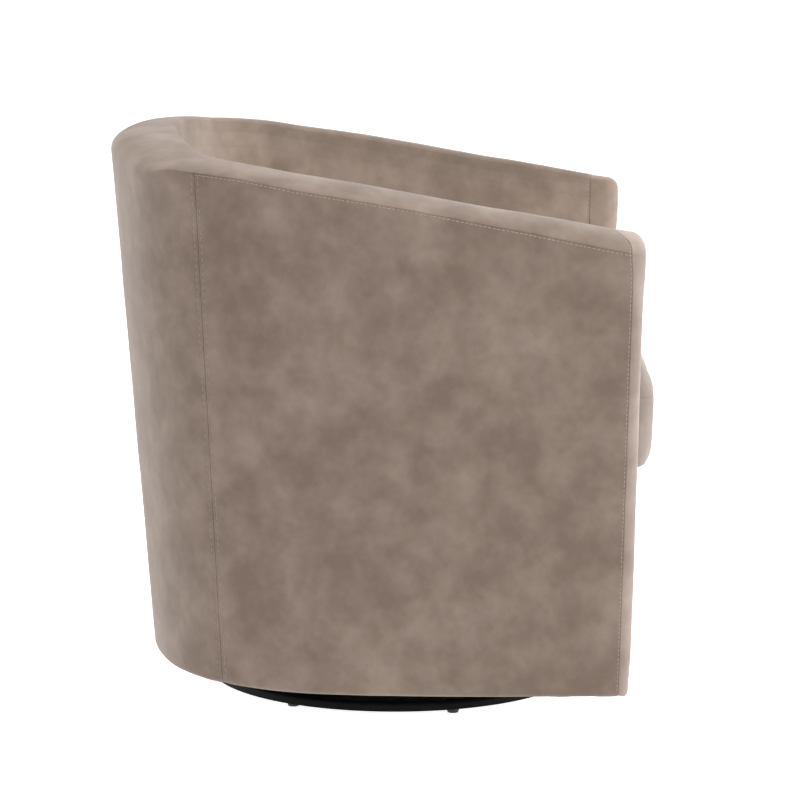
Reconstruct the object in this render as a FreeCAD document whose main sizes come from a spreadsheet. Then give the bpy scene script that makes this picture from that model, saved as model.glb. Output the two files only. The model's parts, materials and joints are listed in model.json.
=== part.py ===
import FreeCAD, Part
import math
import os

import Sketcher
from FreeCAD import Placement, Rotation, Vector

os.makedirs("parts", exist_ok=True)
doc = FreeCAD.newDocument("swivel_club_chair")

# ---------------------------------------------------------------------------
# Driving dimensions, millimetres and degrees.
# Frame: origin on the floor on the swivel axis, +Z up, the chair faces -Y,
# -X is the sitter's right.
# ---------------------------------------------------------------------------
ROWS = [
    # outer skin of the tub: plan at the bottom edge and at the top reference
    ("tub_bottom_z", 53, "height of the tub's bottom edge"),
    ("tub_ref_z", 743, "height of the upper plan"),
    ("half_width_low", 330, "half width at the bottom edge"),
    ("half_width_high", 348, "half width at the upper plan"),
    ("back_low", 319, "rearmost point at the bottom edge"),
    ("back_high", 371, "rearmost point at the upper plan"),
    ("back_radius_low", 450, "plan radius of the back, low"),
    ("back_radius_high", 620, "plan radius of the back, high"),
    ("corner_radius_low", 250, "plan radius side to back, low"),
    ("corner_radius_high", 178, "plan radius side to back, high"),
    ("turn_side", 8, "turn of the long side arc, degrees"),
    ("turn_corner", 70, "turn up to the back arc, degrees"),
    ("front_low", -291, "arm front at the bottom edge"),
    ("front_high", -307, "arm front at the upper plan"),
    ("seam_low", 219, "side to back seam, y at the bottom edge"),
    ("seam_high", 248, "side to back seam, y at the upper plan"),
    ("crown_mid", 681.5, "height of the rim's crown above the swivel axis"),
    ("crown_slope", 9.7, "fall of the rim towards the front, degrees"),
    # layers of the wall, measured inwards from the outer skin
    ("cover_in", 5, "outer cover with its wadding"),
    ("backing_out", 5.5, "outer backing board, outside"),
    ("backing_in", 9.5, "outer backing board, inside"),
    ("post_out", 11, "posts, outside"),
    ("post_in", 33, "posts, inside"),
    ("rail_out", 10.5, "top rail, outside"),
    ("rail_in", 33.5, "top rail, inside"),
    ("inner_board_out", 34.5, "inner backing board, outside"),
    ("inner_board_in", 38, "inner backing board, inside"),
    ("foam_out", 38.5, "arm and back foam, outside"),
    ("foam_in", 64.5, "arm and back foam, inside"),
    ("lining_out", 65, "inside cover, outside"),
    ("wall", 68, "whole wall at the arms"),
    ("back_extra", 18, "extra depth of the padding behind the sitter"),
    # levels below the crown
    ("drop_cover", 20.5, "top of the outer and inside covers"),
    ("drop_band", 20, "lower edge of the rim cover"),
    ("drop_band_in", 4, "underside of the rim cover's top"),
    ("drop_pad_low", 35, "underside of the rim padding"),
    ("drop_pad_high", 9.5, "top of the rim padding"),
    ("pad_round", 15, "slope of the rim padding's edges"),
    ("drop_rail_high", 35.5, "top of the top rail"),
    ("drop_rail_low", 54, "underside of the top rail"),
    ("drop_post", 54.5, "top of the posts"),
    ("rim_round", 14, "rounding of the rim's edges"),
    ("front_thick", 12, "arm front cover with its padding"),
    ("front_gap", 0.5, "joint behind the arm front"),
    # frame
    ("board_z", 55, "underside of the bottom board"),
    ("board_thick", 18, "bottom board"),
    ("board_hole_r", 24, "hole in the bottom board for the pivot nut"),
    ("seat_z", 293, "underside of the seat frame"),
    ("seat_thick", 18, "seat frame"),
    ("seat_out", 34, "seat frame, outside"),
    ("seat_in", 75, "seat frame, inside"),
    ("seat_front_back", 62, "seat frame, inner front edge behind the arm front"),
    ("post_width", 44, "posts along the wall"),
    ("apron_thick", 12, "front apron board"),
    ("apron_cover_set", 6, "front cover behind the arm front"),
    ("apron_cover_top", 320, "top of the front cover"),
    ("block_leg", 60, "corner block leg"),
    ("block_high", 50, "corner block height"),
    ("wood_screw_r", 2.5, "wood screw shank"),
    ("wood_screw_head_r", 4.5, "wood screw head"),
    ("wood_screw_head_high", 3, "wood screw head"),
    ("wood_screw_length", 52, "wood screw"),
    # suspension
    ("spring_wire_r", 1.8, "seat spring wire"),
    ("spring_pitch", 22, "seat spring pitch"),
    ("spring_bar", 28, "seat spring straight bar"),
    ("spring_gap", 100, "distance between seat springs"),
    ("spring_start", 13, "first spring bar in front of the frame's inner edge"),
    ("clip_wide", 22, "spring clip width"),
    ("clip_thick", 1.0, "spring clip strip"),
    ("tie_wire_r", 1.2, "cross tie wire"),
    ("tie_wire_half", 232, "cross tie wire half length"),
    ("felt_z", 319.4, "underside of the deck felt"),
    ("felt_thick", 3, "deck felt"),
    ("lining_z", 321, "lower edge of the inside covers"),
    ("foam_z", 323, "lower edge of the arm and back foam"),
    ("dust_thick", 1.2, "dust cover"),
    ("dust_hole_r", 180, "hole in the dust cover"),
    # seat cushion
    ("cushion_set", 71, "cushion plan behind the outer skin"),
    ("cushion_z", 323, "underside of the cushion"),
    ("cushion_high", 148, "cushion thickness"),
    ("cushion_front", -324, "front of the cushion"),
    ("cushion_cloth", 3, "cushion cover with its wadding"),
    ("cushion_core_set", 12, "core inside the cover"),
    ("cushion_core_corner", 40, "front corners of the core, plan radius"),
    ("cushion_core_top", 30, "rounding of the core's top edge"),
    ("cushion_core_low", 8, "rounding of the core's lower edge"),
    ("zip_high", 22, "zip tape"),
    ("zip_thick", 1.0, "zip tape"),
    ("zip_half", 150, "half length of the zip"),
    # swivel base
    ("pan_r", 245, "base pan radius"),
    ("pan_low", 13, "base pan, lower edge of the rim"),
    ("pan_top", 25, "base pan, top"),
    ("pan_sheet", 2.5, "base pan sheet"),
    ("pan_round", 5, "base pan edge radius"),
    ("pan_hole_r", 6.2, "base pan pivot hole"),
    ("glide_ring_r", 208, "glides, ring radius"),
    ("glide_turn", 20.8, "first glide, degrees"),
    ("glide_foot_r", 7, "glide foot"),
    ("glide_r", 10, "glide body"),
    ("glide_cone", 10, "glide, height of the tapered foot"),
    ("glide_high", 22.4, "glide without its stud"),
    ("glide_stud_r", 3, "glide stud"),
    ("glide_stud", 2.4, "glide stud length"),
    ("glide_hole_r", 3.1, "glide hole"),
    ("spacer_r", 160, "spacer ring, outside"),
    ("spacer_hole_r", 60, "spacer ring, inside"),
    ("spacer_top", 40, "spacer ring, top"),
    ("race_out_r", 152, "races, outside"),
    ("race_in_r", 98, "races, inside"),
    ("race_thick", 4, "races"),
    ("race_gap", 4, "gap between the races"),
    ("track_r", 125, "ball track"),
    ("ball_r", 4, "bearing balls"),
    ("groove_r", 4.08, "race groove"),
    ("cage_out_r", 135, "ball cage, outside"),
    ("cage_in_r", 115, "ball cage, inside"),
    ("cage_thick", 2.4, "ball cage"),
    ("cage_hole_r", 4.2, "ball cage pocket"),
    ("race_screw_ring_r", 145, "race screws, ring"),
    ("race_screw_r", 2.5, "race screw"),
    ("race_screw_hole_r", 2.6, "race screw hole"),
    ("race_screw_head_r", 5, "race screw head"),
    ("race_screw_head", 2.5, "race screw head height"),
    ("race_nut_r", 4.6, "race nut, corner radius"),
    ("race_nut_high", 4, "race nut"),
    ("rivet_ring_r", 105, "race rivets, ring"),
    ("rivet_r", 2.5, "race rivet"),
    ("rivet_head_r", 4.2, "race rivet head"),
    ("rivet_head", 1.2, "race rivet head height"),
    ("plate_r", 172, "swivel plate"),
    ("plate_thick", 3, "swivel plate"),
    ("plate_hole_r", 9, "swivel plate, bush hole"),
    ("plate_screw_ring_r", 162, "plate screws, ring"),
    ("plate_screw_r", 2.5, "plate screw"),
    ("plate_screw_head_r", 5, "plate screw head"),
    ("plate_screw_head", 3, "plate screw head height"),
    ("plate_screw_length", 17, "plate screw above the plate's underside"),
    ("pivot_r", 6, "pivot bolt shank"),
    ("pivot_head_r", 11, "pivot bolt head"),
    ("pivot_head", 6, "pivot bolt head height"),
    ("pivot_top", 69.5, "pivot bolt end"),
    ("bush_r", 8.95, "pivot bush, outside"),
    ("bush_hole_r", 6.05, "pivot bush, inside"),
    ("bush_low", 50.5, "pivot bush, lower face"),
    ("washer_r", 16, "thrust washer"),
    ("washer_hole_r", 6.1, "thrust washer hole"),
    ("washer_z", 55.2, "thrust washer, lower face"),
    ("washer_thick", 1.5, "thrust washer"),
    ("nut_flat", 19, "locknut across the flats"),
    ("nut_high", 10, "locknut"),
    ("nut_hole_r", 6.02, "locknut hole"),
]

sheet = doc.addObject("Spreadsheet::Sheet", "dims")
VAL = {}
for row, (alias, value, note) in enumerate(ROWS, start=1):
    sheet.set("A%d" % row, note)
    sheet.set("B%d" % row, str(value))
    sheet.setAlias("B%d" % row, alias)
    VAL[alias] = float(value)
doc.recompute()
for alias in VAL:
    VAL[alias] = float(sheet.get(alias))


class Dim:
    """A number with the expression it comes from."""

    def __init__(self, v, e):
        self.v, self.e = float(v), e

    def _other(self, o):
        return o if isinstance(o, Dim) else Dim(o, "%.6f" % o)

    def __add__(self, o):
        o = self._other(o)
        return Dim(self.v + o.v, "(%s + %s)" % (self.e, o.e))

    def __sub__(self, o):
        o = self._other(o)
        return Dim(self.v - o.v, "(%s - %s)" % (self.e, o.e))

    def __mul__(self, o):
        o = self._other(o)
        return Dim(self.v * o.v, "(%s * %s)" % (self.e, o.e))

    def __truediv__(self, o):
        o = self._other(o)
        return Dim(self.v / o.v, "(%s / %s)" % (self.e, o.e))

    __radd__ = __add__
    __rmul__ = __mul__

    def __neg__(self):
        return Dim(-self.v, "(0 - %s)" % self.e)


def D(alias):
    return Dim(VAL[alias], "dims." + alias)


def S(alias):
    return VAL[alias]


def bind(obj, prop, dim):
    if not isinstance(dim, Dim):
        dim = Dim(dim, "%.6f" % dim)
    if "." not in prop:
        setattr(obj, prop, dim.v)
    obj.setExpression(prop, dim.e)


NODES = {}


def node(label, obj):
    obj.Label = label
    NODES[label] = obj
    return obj


# --- part primitives -------------------------------------------------------
def place(obj, x=0.0, y=0.0, z=0.0):
    """Puts a primitive at a point whose coordinates may follow the sheet."""
    vals = [c.v if isinstance(c, Dim) else float(c) for c in (x, y, z)]
    obj.Placement = Placement(Vector(*vals), Rotation())
    for axis, c in zip("xyz", (x, y, z)):
        if isinstance(c, Dim):
            obj.setExpression("Placement.Base." + axis, c.e)
    return obj


def cylinder(name, r, h, x=0.0, y=0.0, z=0.0):
    o = doc.addObject("Part::Cylinder", name)
    bind(o, "Radius", r)
    bind(o, "Height", h)
    return place(o, x, y, z)


def cone(name, r1, r2, h, x=0.0, y=0.0, z=0.0):
    o = doc.addObject("Part::Cone", name)
    bind(o, "Radius1", r1)
    bind(o, "Radius2", r2)
    bind(o, "Height", h)
    return place(o, x, y, z)


def torus(name, big, small, z):
    o = doc.addObject("Part::Torus", name)
    bind(o, "Radius1", big)
    bind(o, "Radius2", small)
    return place(o, 0.0, 0.0, z)


def cut(name, base, tool):
    o = doc.addObject("Part::Cut", name)
    o.Base, o.Tool = base, tool
    return o


def fuse(name, shapes):
    o = doc.addObject("Part::MultiFuse", name)
    o.Shapes = shapes
    return o


def group(name, links):
    o = doc.addObject("Part::Compound", name)
    o.Links = links
    return o


def ring_xy(ring, turn, count, i):
    a = math.radians(turn + 360.0 * i / count)
    return ring * math.cos(a), ring * math.sin(a)


# --- bodies with sketches --------------------------------------------------
def body(label):
    b = doc.addObject("PartDesign::Body", "body_" + label)
    return node(label, b)


def origin_plane(b, role):
    for f in b.Origin.OriginFeatures:
        if f.Role == role:
            return f


def sketch(b, name, role, z=None):
    sk = b.newObject("Sketcher::SketchObject", name)
    sk.AttachmentSupport = [(origin_plane(b, role), "")]
    sk.MapMode = "FlatFace"
    if z is not None:
        sk.AttachmentOffset = Placement(Vector(0, 0, z.v), Rotation())
        sk.setExpression("AttachmentOffset.Base.z", z.e)
    return sk


def pin_point(sk, geo, pos, x, y):
    """Ties a sketch point to the sheet."""
    for kind, c, axis in (("DistanceX", x, -2), ("DistanceY", y, -1)):
        if not isinstance(c, Dim):
            c = Dim(c, "%.6f" % c)
        if abs(c.v) < 1e-9:
            sk.addConstraint(Sketcher.Constraint("PointOnObject", geo, pos, axis))
        else:
            k = sk.addConstraint(Sketcher.Constraint(kind, -1, 1, geo, pos, c.v))
            sk.setExpression("Constraints[%d]" % k, c.e)


def val(c):
    return c.v if isinstance(c, Dim) else float(c)


def polygon(sk, pts):
    n = len(pts)
    geos = []
    for i in range(n):
        (x0, y0), (x1, y1) = pts[i], pts[(i + 1) % n]
        geos.append(
            sk.addGeometry(
                Part.LineSegment(
                    Vector(val(x0), val(y0), 0), Vector(val(x1), val(y1), 0)
                ),
                False,
            )
        )
    for i in range(n):
        sk.addConstraint(
            Sketcher.Constraint("Coincident", geos[i], 2, geos[(i + 1) % n], 1)
        )
    for i in range(n):
        pin_point(sk, geos[i], 1, pts[i][0], pts[i][1])
    return geos


def circle(sk, x, y, r):
    g = sk.addGeometry(
        Part.Circle(Vector(val(x), val(y), 0), Vector(0, 0, 1), val(r)), False
    )
    k = sk.addConstraint(Sketcher.Constraint("Radius", g, val(r)))
    if isinstance(r, Dim):
        sk.setExpression("Constraints[%d]" % k, r.e)
    pin_point(sk, g, 3, x, y)
    return g


def revolve(b, sk):
    f = b.newObject("PartDesign::Revolution", sk.Name + "_turn")
    f.Profile = sk
    f.ReferenceAxis = (sk, ["V_Axis"])
    f.Angle = 360.0
    return f


def pad(b, sk, length):
    f = b.newObject("PartDesign::Pad", sk.Name + "_pad")
    f.Profile = sk
    bind(f, "Length", length)
    return f


def pocket(b, sk, length, reverse):
    f = b.newObject("PartDesign::Pocket", sk.Name + "_pocket")
    f.Profile = sk
    f.Reversed = reverse
    bind(f, "Length", length)
    return f


def polar(b, feature, sk, count):
    f = b.newObject("PartDesign::PolarPattern", feature.Name + "_ring")
    f.Originals = [feature]
    f.Axis = (sk, ["N_Axis"])
    f.Angle = 360.0
    f.Occurrences = count
    b.Tip = f
    return f


# ---------------------------------------------------------------------------
# The tub's outer skin: its plan is a chain of tangent arcs (long side arc,
# corner arc, back arc). The same turns are used at both heights, so every
# level between them is again such a chain, and every layer of the wall is a
# parallel of it.
# ---------------------------------------------------------------------------
T1, T2 = math.radians(S("turn_side")), math.radians(S("turn_corner"))


def nrm(t):
    return -math.cos(t), math.sin(t)


def plan_ref(a, back, r_back, r_corner, front):
    n1, n2 = nrm(T1), nrm(T2)
    cby = back - r_back
    p2 = (r_back * n2[0], cby + r_back * n2[1])
    ca = (p2[0] - r_corner * n2[0], p2[1] - r_corner * n2[1])
    p1 = (ca[0] + r_corner * n1[0], ca[1] + r_corner * n1[1])
    r0 = (a + p1[0]) / (1.0 - math.cos(T1))
    return {
        "cby": cby,
        "rb": r_back,
        "cax": ca[0],
        "cay": ca[1],
        "ra": r_corner,
        "c0x": p1[0] - r0 * n1[0],
        "c0y": p1[1] - r0 * n1[1],
        "r0": r0,
        "front": front,
    }


LOW = plan_ref(
    S("half_width_low"),
    S("back_low"),
    S("back_radius_low"),
    S("corner_radius_low"),
    S("front_low"),
)
HIGH = plan_ref(
    S("half_width_high"),
    S("back_high"),
    S("back_radius_high"),
    S("corner_radius_high"),
    S("front_high"),
)


def plan(z):
    t = (z - S("tub_bottom_z")) / (S("tub_ref_z") - S("tub_bottom_z"))
    return {k: LOW[k] + (HIGH[k] - LOW[k]) * t for k in LOW}


def at_turn(q, d, t):
    """Point of the right half of the plan at turn t, d inside the skin."""
    nx, ny = nrm(t)
    if t <= T1:
        return q["c0x"] + (q["r0"] - d) * nx, q["c0y"] + (q["r0"] - d) * ny
    if t <= T2:
        return q["cax"] + (q["ra"] - d) * nx, q["cay"] + (q["ra"] - d) * ny
    return (q["rb"] - d) * nx, q["cby"] + (q["rb"] - d) * ny


def at_y(q, d, y):
    """Turn of the right half of the plan, d inside the skin, where it passes y."""
    if y <= q["c0y"]:
        return None
    lo, hi = 0.0, math.pi / 2
    for _ in range(60):
        mid = 0.5 * (lo + hi)
        if at_turn(q, d, mid)[1] < y:
            lo = mid
        else:
            hi = mid
    return 0.5 * (lo + hi)


def side_x(q, d, y):
    t = at_y(q, d, y)
    if t is None:
        return q["c0x"] - (q["r0"] - d)
    return at_turn(q, d, t)[0]


def back_y(q, d, x):
    """y of the back wall, d inside the skin, at a distance x from the middle."""
    lo, hi = 0.0, math.pi / 2
    for _ in range(60):
        mid = 0.5 * (lo + hi)
        if abs(at_turn(q, d, mid)[0]) > abs(x):
            lo = mid
        else:
            hi = mid
    return at_turn(q, d, 0.5 * (lo + hi))[1]


def chain(z, d, front, extra=0.0):
    """Edges of the plan from the right arm's front round the back to the left one."""
    q = plan(z)

    def p(t, mirror):
        x, y = at_turn(q, d, t)
        return Vector(-x if mirror else x, y - extra, z)

    xs = q["c0x"] - (q["r0"] - d)
    f_r, f_l = Vector(xs, front, z), Vector(-xs, front, z)
    top = Vector(0, q["cby"] + q["rb"] - d - extra, z)
    e = 1e-9
    a0, a1, a2 = p(0.0, False), p(T1 - e, False), p(T2 + e, False)
    b0, b1, b2 = p(0.0, True), p(T1 - e, True), p(T2 + e, True)
    m = 0.5 * (T1 + T2)
    return [
        Part.LineSegment(f_r, a0).toShape(),
        Part.Arc(a0, p(0.5 * T1, False), a1).toShape(),
        Part.Arc(a1, p(m, False), a2).toShape(),
        Part.Arc(a2, top, b2).toShape(),
        Part.Arc(b2, p(m, True), b1).toShape(),
        Part.Arc(b1, p(0.5 * T1, True), b0).toShape(),
        Part.LineSegment(b0, f_l).toShape(),
    ], f_r, f_l


def u_wire(z, d_out, d_in, behind, extra_out=0.0, extra_in=0.0):
    front = plan(z)["front"] + behind
    outer, o_r, o_l = chain(z, d_out, front, extra_out)
    inner, i_r, i_l = chain(z, d_in, front, extra_in)
    edges = outer + [Part.LineSegment(o_l, i_l).toShape()]
    edges += list(reversed(inner)) + [Part.LineSegment(i_r, o_r).toShape()]
    return Part.Wire(Part.__sortEdges__(edges))


def d_wire(z, d, front, extra=0.0):
    outer, o_r, o_l = chain(z, d, front, extra)
    return Part.Wire(
        Part.__sortEdges__(outer + [Part.LineSegment(o_l, o_r).toShape()])
    )


def wall_layer(d_out, d_in, behind, z0, z1, extra_out=0.0, extra_in=0.0):
    return Part.makeLoft(
        [u_wire(z, d_out, d_in, behind, extra_out, extra_in) for z in (z0, z1)], True, True
    )


BIG = 3000.0


def under_crown(drop):
    """Everything lower than the rim's plane, drop millimetres below its crown."""
    s = Part.makeBox(BIG, BIG, BIG, Vector(-BIG / 2, -BIG / 2, -BIG))
    s.rotate(Vector(0, 0, 0), Vector(1, 0, 0), S("crown_slope"))
    s.translate(Vector(0, 0, S("crown_mid") - drop))
    return s


def crown_z(y, drop):
    return S("crown_mid") - drop + math.tan(math.radians(S("crown_slope"))) * y


def seam_side(front_part, gap):
    """Everything in front of (or behind) the seam between side and back."""
    k = (S("seam_high") - S("seam_low")) / (S("tub_ref_z") - S("tub_bottom_z"))
    y0 = -BIG if front_part else 0.0
    s = Part.makeBox(BIG, BIG, BIG, Vector(-BIG / 2, y0, -BIG / 2))
    s.rotate(Vector(0, 0, 0), Vector(1, 0, 0), -math.degrees(math.atan(k)))
    shift = -0.5 * gap if front_part else 0.5 * gap
    s.translate(Vector(0, S("seam_low") + shift, S("tub_bottom_z")))
    return s


def half(right):
    x0 = -BIG if right else 0.0
    return Part.makeBox(BIG, 2 * BIG, BIG, Vector(x0, -BIG, -BIG / 2))


def block_y(front_part, y):
    y0 = y - BIG if front_part else y
    return Part.makeBox(BIG, BIG, BIG, Vector(-BIG / 2, y0, -BIG / 2))


def feature(label, shape):
    if shape.ShapeType == "Compound" and len(shape.Solids) == 1:
        shape = shape.Solids[0]
    o = doc.addObject("Part::Feature", label)
    o.Shape = shape
    o.Placement = Placement()
    return node(label, o)


def quad_loft(q0, q1):
    wires = []
    for q in (q0, q1):
        pts = [Vector(*p) for p in q]
        wires.append(Part.makePolygon(pts + [pts[0]]))
    return Part.makeLoft(wires, True, True)


BEHIND = S("front_thick") + S("front_gap")
TOPZ = S("tub_ref_z") + 40

# ---------------------------------------------------------------------------
# Swivel base
# ---------------------------------------------------------------------------
# base pan: pressed sheet with a rounded, turned-down rim
b = body("base_pan")
sk = sketch(b, "pan_section", "XZ_Plane")
polygon(
    sk,
    [
        (D("pan_hole_r"), D("pan_top")),
        (D("pan_r"), D("pan_top")),
        (D("pan_r"), D("pan_low")),
        (D("pan_r") - D("pan_sheet"), D("pan_low")),
        (D("pan_r") - D("pan_sheet"), D("pan_top") - D("pan_sheet")),
        (D("pan_hole_r"), D("pan_top") - D("pan_sheet")),
    ],
)
pan_turn = revolve(b, sk)
doc.recompute()
for ring, radius, turn, count, tag in (
    ("glide_ring_r", "glide_hole_r", S("glide_turn"), 6, "glide"),
    ("race_screw_ring_r", "race_screw_hole_r", 0.0, 6, "screw"),
):
    sk = sketch(b, "pan_%s_holes" % tag, "XY_Plane", D("pan_top"))
    a = math.radians(turn)
    circle(sk, D(ring) * math.cos(a), D(ring) * math.sin(a), D(radius))
    pk = pocket(b, sk, D("pan_sheet") * 2, False)
    doc.recompute()
    polar(b, pk, sk, 6)
    doc.recompute()
edges = []
tip = b.Tip
for i, ed in enumerate(tip.Shape.Edges, start=1):
    c = ed.Curve
    if (
        isinstance(c, Part.Circle)
        and abs(c.Radius - S("pan_r")) < 1e-6
        and abs(c.Center.z - S("pan_top")) < 1e-6
    ):
        edges.append("Edge%d" % i)
fl = b.newObject("PartDesign::Fillet", "pan_edge")
fl.Base = (tip, edges)
bind(fl, "Radius", D("pan_round") * 0.999)
b.Tip = fl
doc.recompute()

# glides: tapered feet with a stud through the pan
glides = []
for i in range(6):
    a = math.radians(S("glide_turn") + 60.0 * i)
    x, y = D("glide_ring_r") * math.cos(a), D("glide_ring_r") * math.sin(a)
    n = "glide%d_" % i
    glides.append(
        fuse(
            n + "whole",
            [
                cone(n + "foot", D("glide_foot_r"), D("glide_r"), D("glide_cone"), x, y),
                cylinder(
                    n + "drum",
                    D("glide_r"),
                    D("glide_high") - D("glide_cone"),
                    x,
                    y,
                    D("glide_cone"),
                ),
                cylinder(
                    n + "stud",
                    D("glide_stud_r"),
                    D("glide_stud"),
                    x,
                    y,
                    D("glide_high"),
                ),
            ],
        )
    )
node("glides", group("glides", glides))

# spacer ring between the pan and the lower race
spacer = cut(
    "spacer_ring",
    cylinder(
        "spacer_disc",
        D("spacer_r"),
        D("spacer_top") - D("pan_top"),
        z=D("pan_top"),
    ),
    cylinder(
        "spacer_hole",
        D("spacer_hole_r"),
        D("spacer_top") - D("pan_top") + 2,
        z=D("pan_top") - 1,
    ),
)


def ring_cut(name, base, make, count, ring, turn=0.0):
    tools = []
    for i in range(count):
        a = math.radians(turn + 360.0 * i / count)
        tools.append(make(i, ring * math.cos(a), ring * math.sin(a)))
    return cut(name, base, group(name + "_tools", tools))


node(
    "swivel_spacer",
    ring_cut(
        "swivel_spacer",
        spacer,
        lambda i, x, y: cylinder(
            "spacer_screw_hole%d" % i,
            D("race_screw_hole_r"),
            D("spacer_top"),
            x,
            y,
            D("pan_top") - 5,
        ),
        6,
        D("race_screw_ring_r"),
    ),
)

# lower and upper race: flat rings with a rolled ball groove
BALL_Z = D("spacer_top") + D("race_thick") + D("race_gap") * 0.5
UP_Z = D("spacer_top") + D("race_thick") + D("race_gap")
PLATE_Z = UP_Z + D("race_thick")


def race(name, z):
    flat = cut(
        name + "_ring",
        cylinder(name + "_disc", D("race_out_r"), D("race_thick"), z=z),
        cylinder(name + "_hole", D("race_in_r"), D("race_thick") + 2, z=z - 1),
    )
    return cut(
        name + "_grooved",
        flat,
        torus(name + "_groove", D("track_r"), D("groove_r"), BALL_Z),
    )


def screw_seat(i, x, y):
    top = D("spacer_top") + D("race_thick")
    return fuse(
        "race_seat%d" % i,
        [
            cylinder(
                "race_seat_hole%d" % i,
                D("race_screw_hole_r"),
                D("race_thick") + 2,
                x,
                y,
                D("spacer_top") - 1,
            ),
            cone(
                "race_seat_cone%d" % i,
                D("race_screw_hole_r"),
                D("race_screw_head_r") + 0.25,
                D("race_screw_head") + 0.15,
                x,
                y,
                top - D("race_screw_head") - 0.15,
            ),
        ],
    )


node(
    "lower_race",
    ring_cut(
        "lower_race", race("race_low", D("spacer_top")), screw_seat, 6, D("race_screw_ring_r")
    ),
)
node(
    "upper_race",
    ring_cut(
        "upper_race",
        race("race_up", UP_Z),
        lambda i, x, y: cylinder(
            "upper_rivet_hole%d" % i,
            D("rivet_r") + 0.05,
            D("race_thick") + 2,
            x,
            y,
            UP_Z - 1,
        ),
        8,
        D("rivet_ring_r"),
    ),
)

# countersunk race screws with their nuts under the pan
screws, nuts = [], []
for i in range(6):
    a = math.radians(60.0 * i)
    x, y = D("race_screw_ring_r") * math.cos(a), D("race_screw_ring_r") * math.sin(a)
    top = D("spacer_top") + D("race_thick") - 0.1
    low = D("pan_top") - D("pan_sheet") - D("race_nut_high") - 1.5
    n = "race_screw%d_" % i
    screws.append(
        fuse(
            n + "whole",
            [
                cone(
                    n + "head",
                    D("race_screw_r"),
                    D("race_screw_head_r"),
                    D("race_screw_head"),
                    x,
                    y,
                    top - D("race_screw_head"),
                ),
                cylinder(
                    n + "shank",
                    D("race_screw_r"),
                    top - D("race_screw_head") - low,
                    x,
                    y,
                    low,
                ),
            ],
        )
    )
    pr = doc.addObject("Part::Prism", "race_nut%d_hex" % i)
    pr.Polygon = 6
    bind(pr, "Circumradius", D("race_nut_r"))
    bind(pr, "Height", D("race_nut_high"))
    place(pr, x, y, D("pan_top") - D("pan_sheet") - D("race_nut_high"))
    nuts.append(
        cut(
            "race_nut%d" % i,
            pr,
            cylinder(
                "race_nut%d_hole" % i,
                D("race_screw_r") + 0.02,
                D("race_nut_high") + 2,
                x,
                y,
                D("pan_top") - D("pan_sheet") - D("race_nut_high") - 1,
            ),
        )
    )
node("race_screws", group("race_screws", screws))
node("race_nuts", group("race_nuts", nuts))

# pivot bolt with its washer and locknut
b = body("pivot_bolt")
sk = sketch(b, "pivot_section", "XZ_Plane")
under_pan = D("pan_top") - D("pan_sheet")
polygon(
    sk,
    [
        (0.0, under_pan - D("pivot_head")),
        (D("pivot_head_r") - 1, under_pan - D("pivot_head")),
        (D("pivot_head_r"), under_pan - D("pivot_head") + 1),
        (D("pivot_head_r"), under_pan),
        (D("pivot_r"), under_pan),
        (D("pivot_r"), D("pivot_top") - 1),
        (D("pivot_r") - 1, D("pivot_top")),
        (0.0, D("pivot_top")),
    ],
)
revolve(b, sk)

b = body("pivot_washer")
sk = sketch(b, "washer_face", "XY_Plane", D("washer_z"))
circle(sk, 0.0, 0.0, D("washer_r"))
circle(sk, 0.0, 0.0, D("washer_hole_r"))
pad(b, sk, D("washer_thick"))

b = body("pivot_locknut")
sk = sketch(b, "nut_face", "XY_Plane", D("washer_z") + D("washer_thick"))
corner = D("nut_flat") / math.sqrt(3.0)
polygon(
    sk,
    [
        (corner * math.cos(math.radians(60 * i)), corner * math.sin(math.radians(60 * i)))
        if i not in (0, 3)
        else ((corner if i == 0 else -corner), 0.0)
        for i in range(6)
    ],
)
circle(sk, 0.0, 0.0, D("nut_hole_r"))
pad(b, sk, D("nut_high"))

# bush in the swivel plate
b = body("pivot_bush")
sk = sketch(b, "bush_face", "XY_Plane", D("bush_low"))
circle(sk, 0.0, 0.0, D("bush_r"))
circle(sk, 0.0, 0.0, D("bush_hole_r"))
pad(b, sk, PLATE_Z + D("plate_thick") - D("bush_low"))

# ball cage and balls
BALLS = 24
b = body("ball_cage")
sk = sketch(b, "cage_face", "XY_Plane", BALL_Z - D("cage_thick") * 0.5)
circle(sk, 0.0, 0.0, D("cage_out_r"))
circle(sk, 0.0, 0.0, D("cage_in_r"))
pad(b, sk, D("cage_thick"))
doc.recompute()
sk = sketch(b, "cage_pocket_face", "XY_Plane", BALL_Z + D("cage_thick") * 0.5)
circle(sk, D("track_r"), 0.0, D("cage_hole_r"))
pk = pocket(b, sk, D("cage_thick") * 2, False)
doc.recompute()
polar(b, pk, sk, BALLS)
doc.recompute()

balls = []
for i in range(BALLS):
    a = math.radians(360.0 * i / BALLS)
    o = doc.addObject("Part::Sphere", "ball%d" % i)
    bind(o, "Radius", D("ball_r"))
    place(o, D("track_r") * math.cos(a), D("track_r") * math.sin(a), BALL_Z)
    balls.append(o)
node("bearing_balls", group("bearing_balls", balls))

# swivel plate under the tub
b = body("swivel_plate")
sk = sketch(b, "plate_face", "XY_Plane", PLATE_Z)
circle(sk, 0.0, 0.0, D("plate_r"))
circle(sk, 0.0, 0.0, D("plate_hole_r"))
pad(b, sk, D("plate_thick"))
doc.recompute()
for ring, r, count, tag in (
    ("rivet_ring_r", D("rivet_r") + 0.05, 8, "rivet"),
    ("plate_screw_ring_r", D("plate_screw_r") + 0.1, 8, "screw"),
):
    sk = sketch(b, "plate_%s_hole" % tag, "XY_Plane", PLATE_Z + D("plate_thick"))
    circle(sk, D(ring), 0.0, r)
    pk = pocket(b, sk, D("plate_thick") * 2, False)
    doc.recompute()
    polar(b, pk, sk, count)
    doc.recompute()

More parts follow.
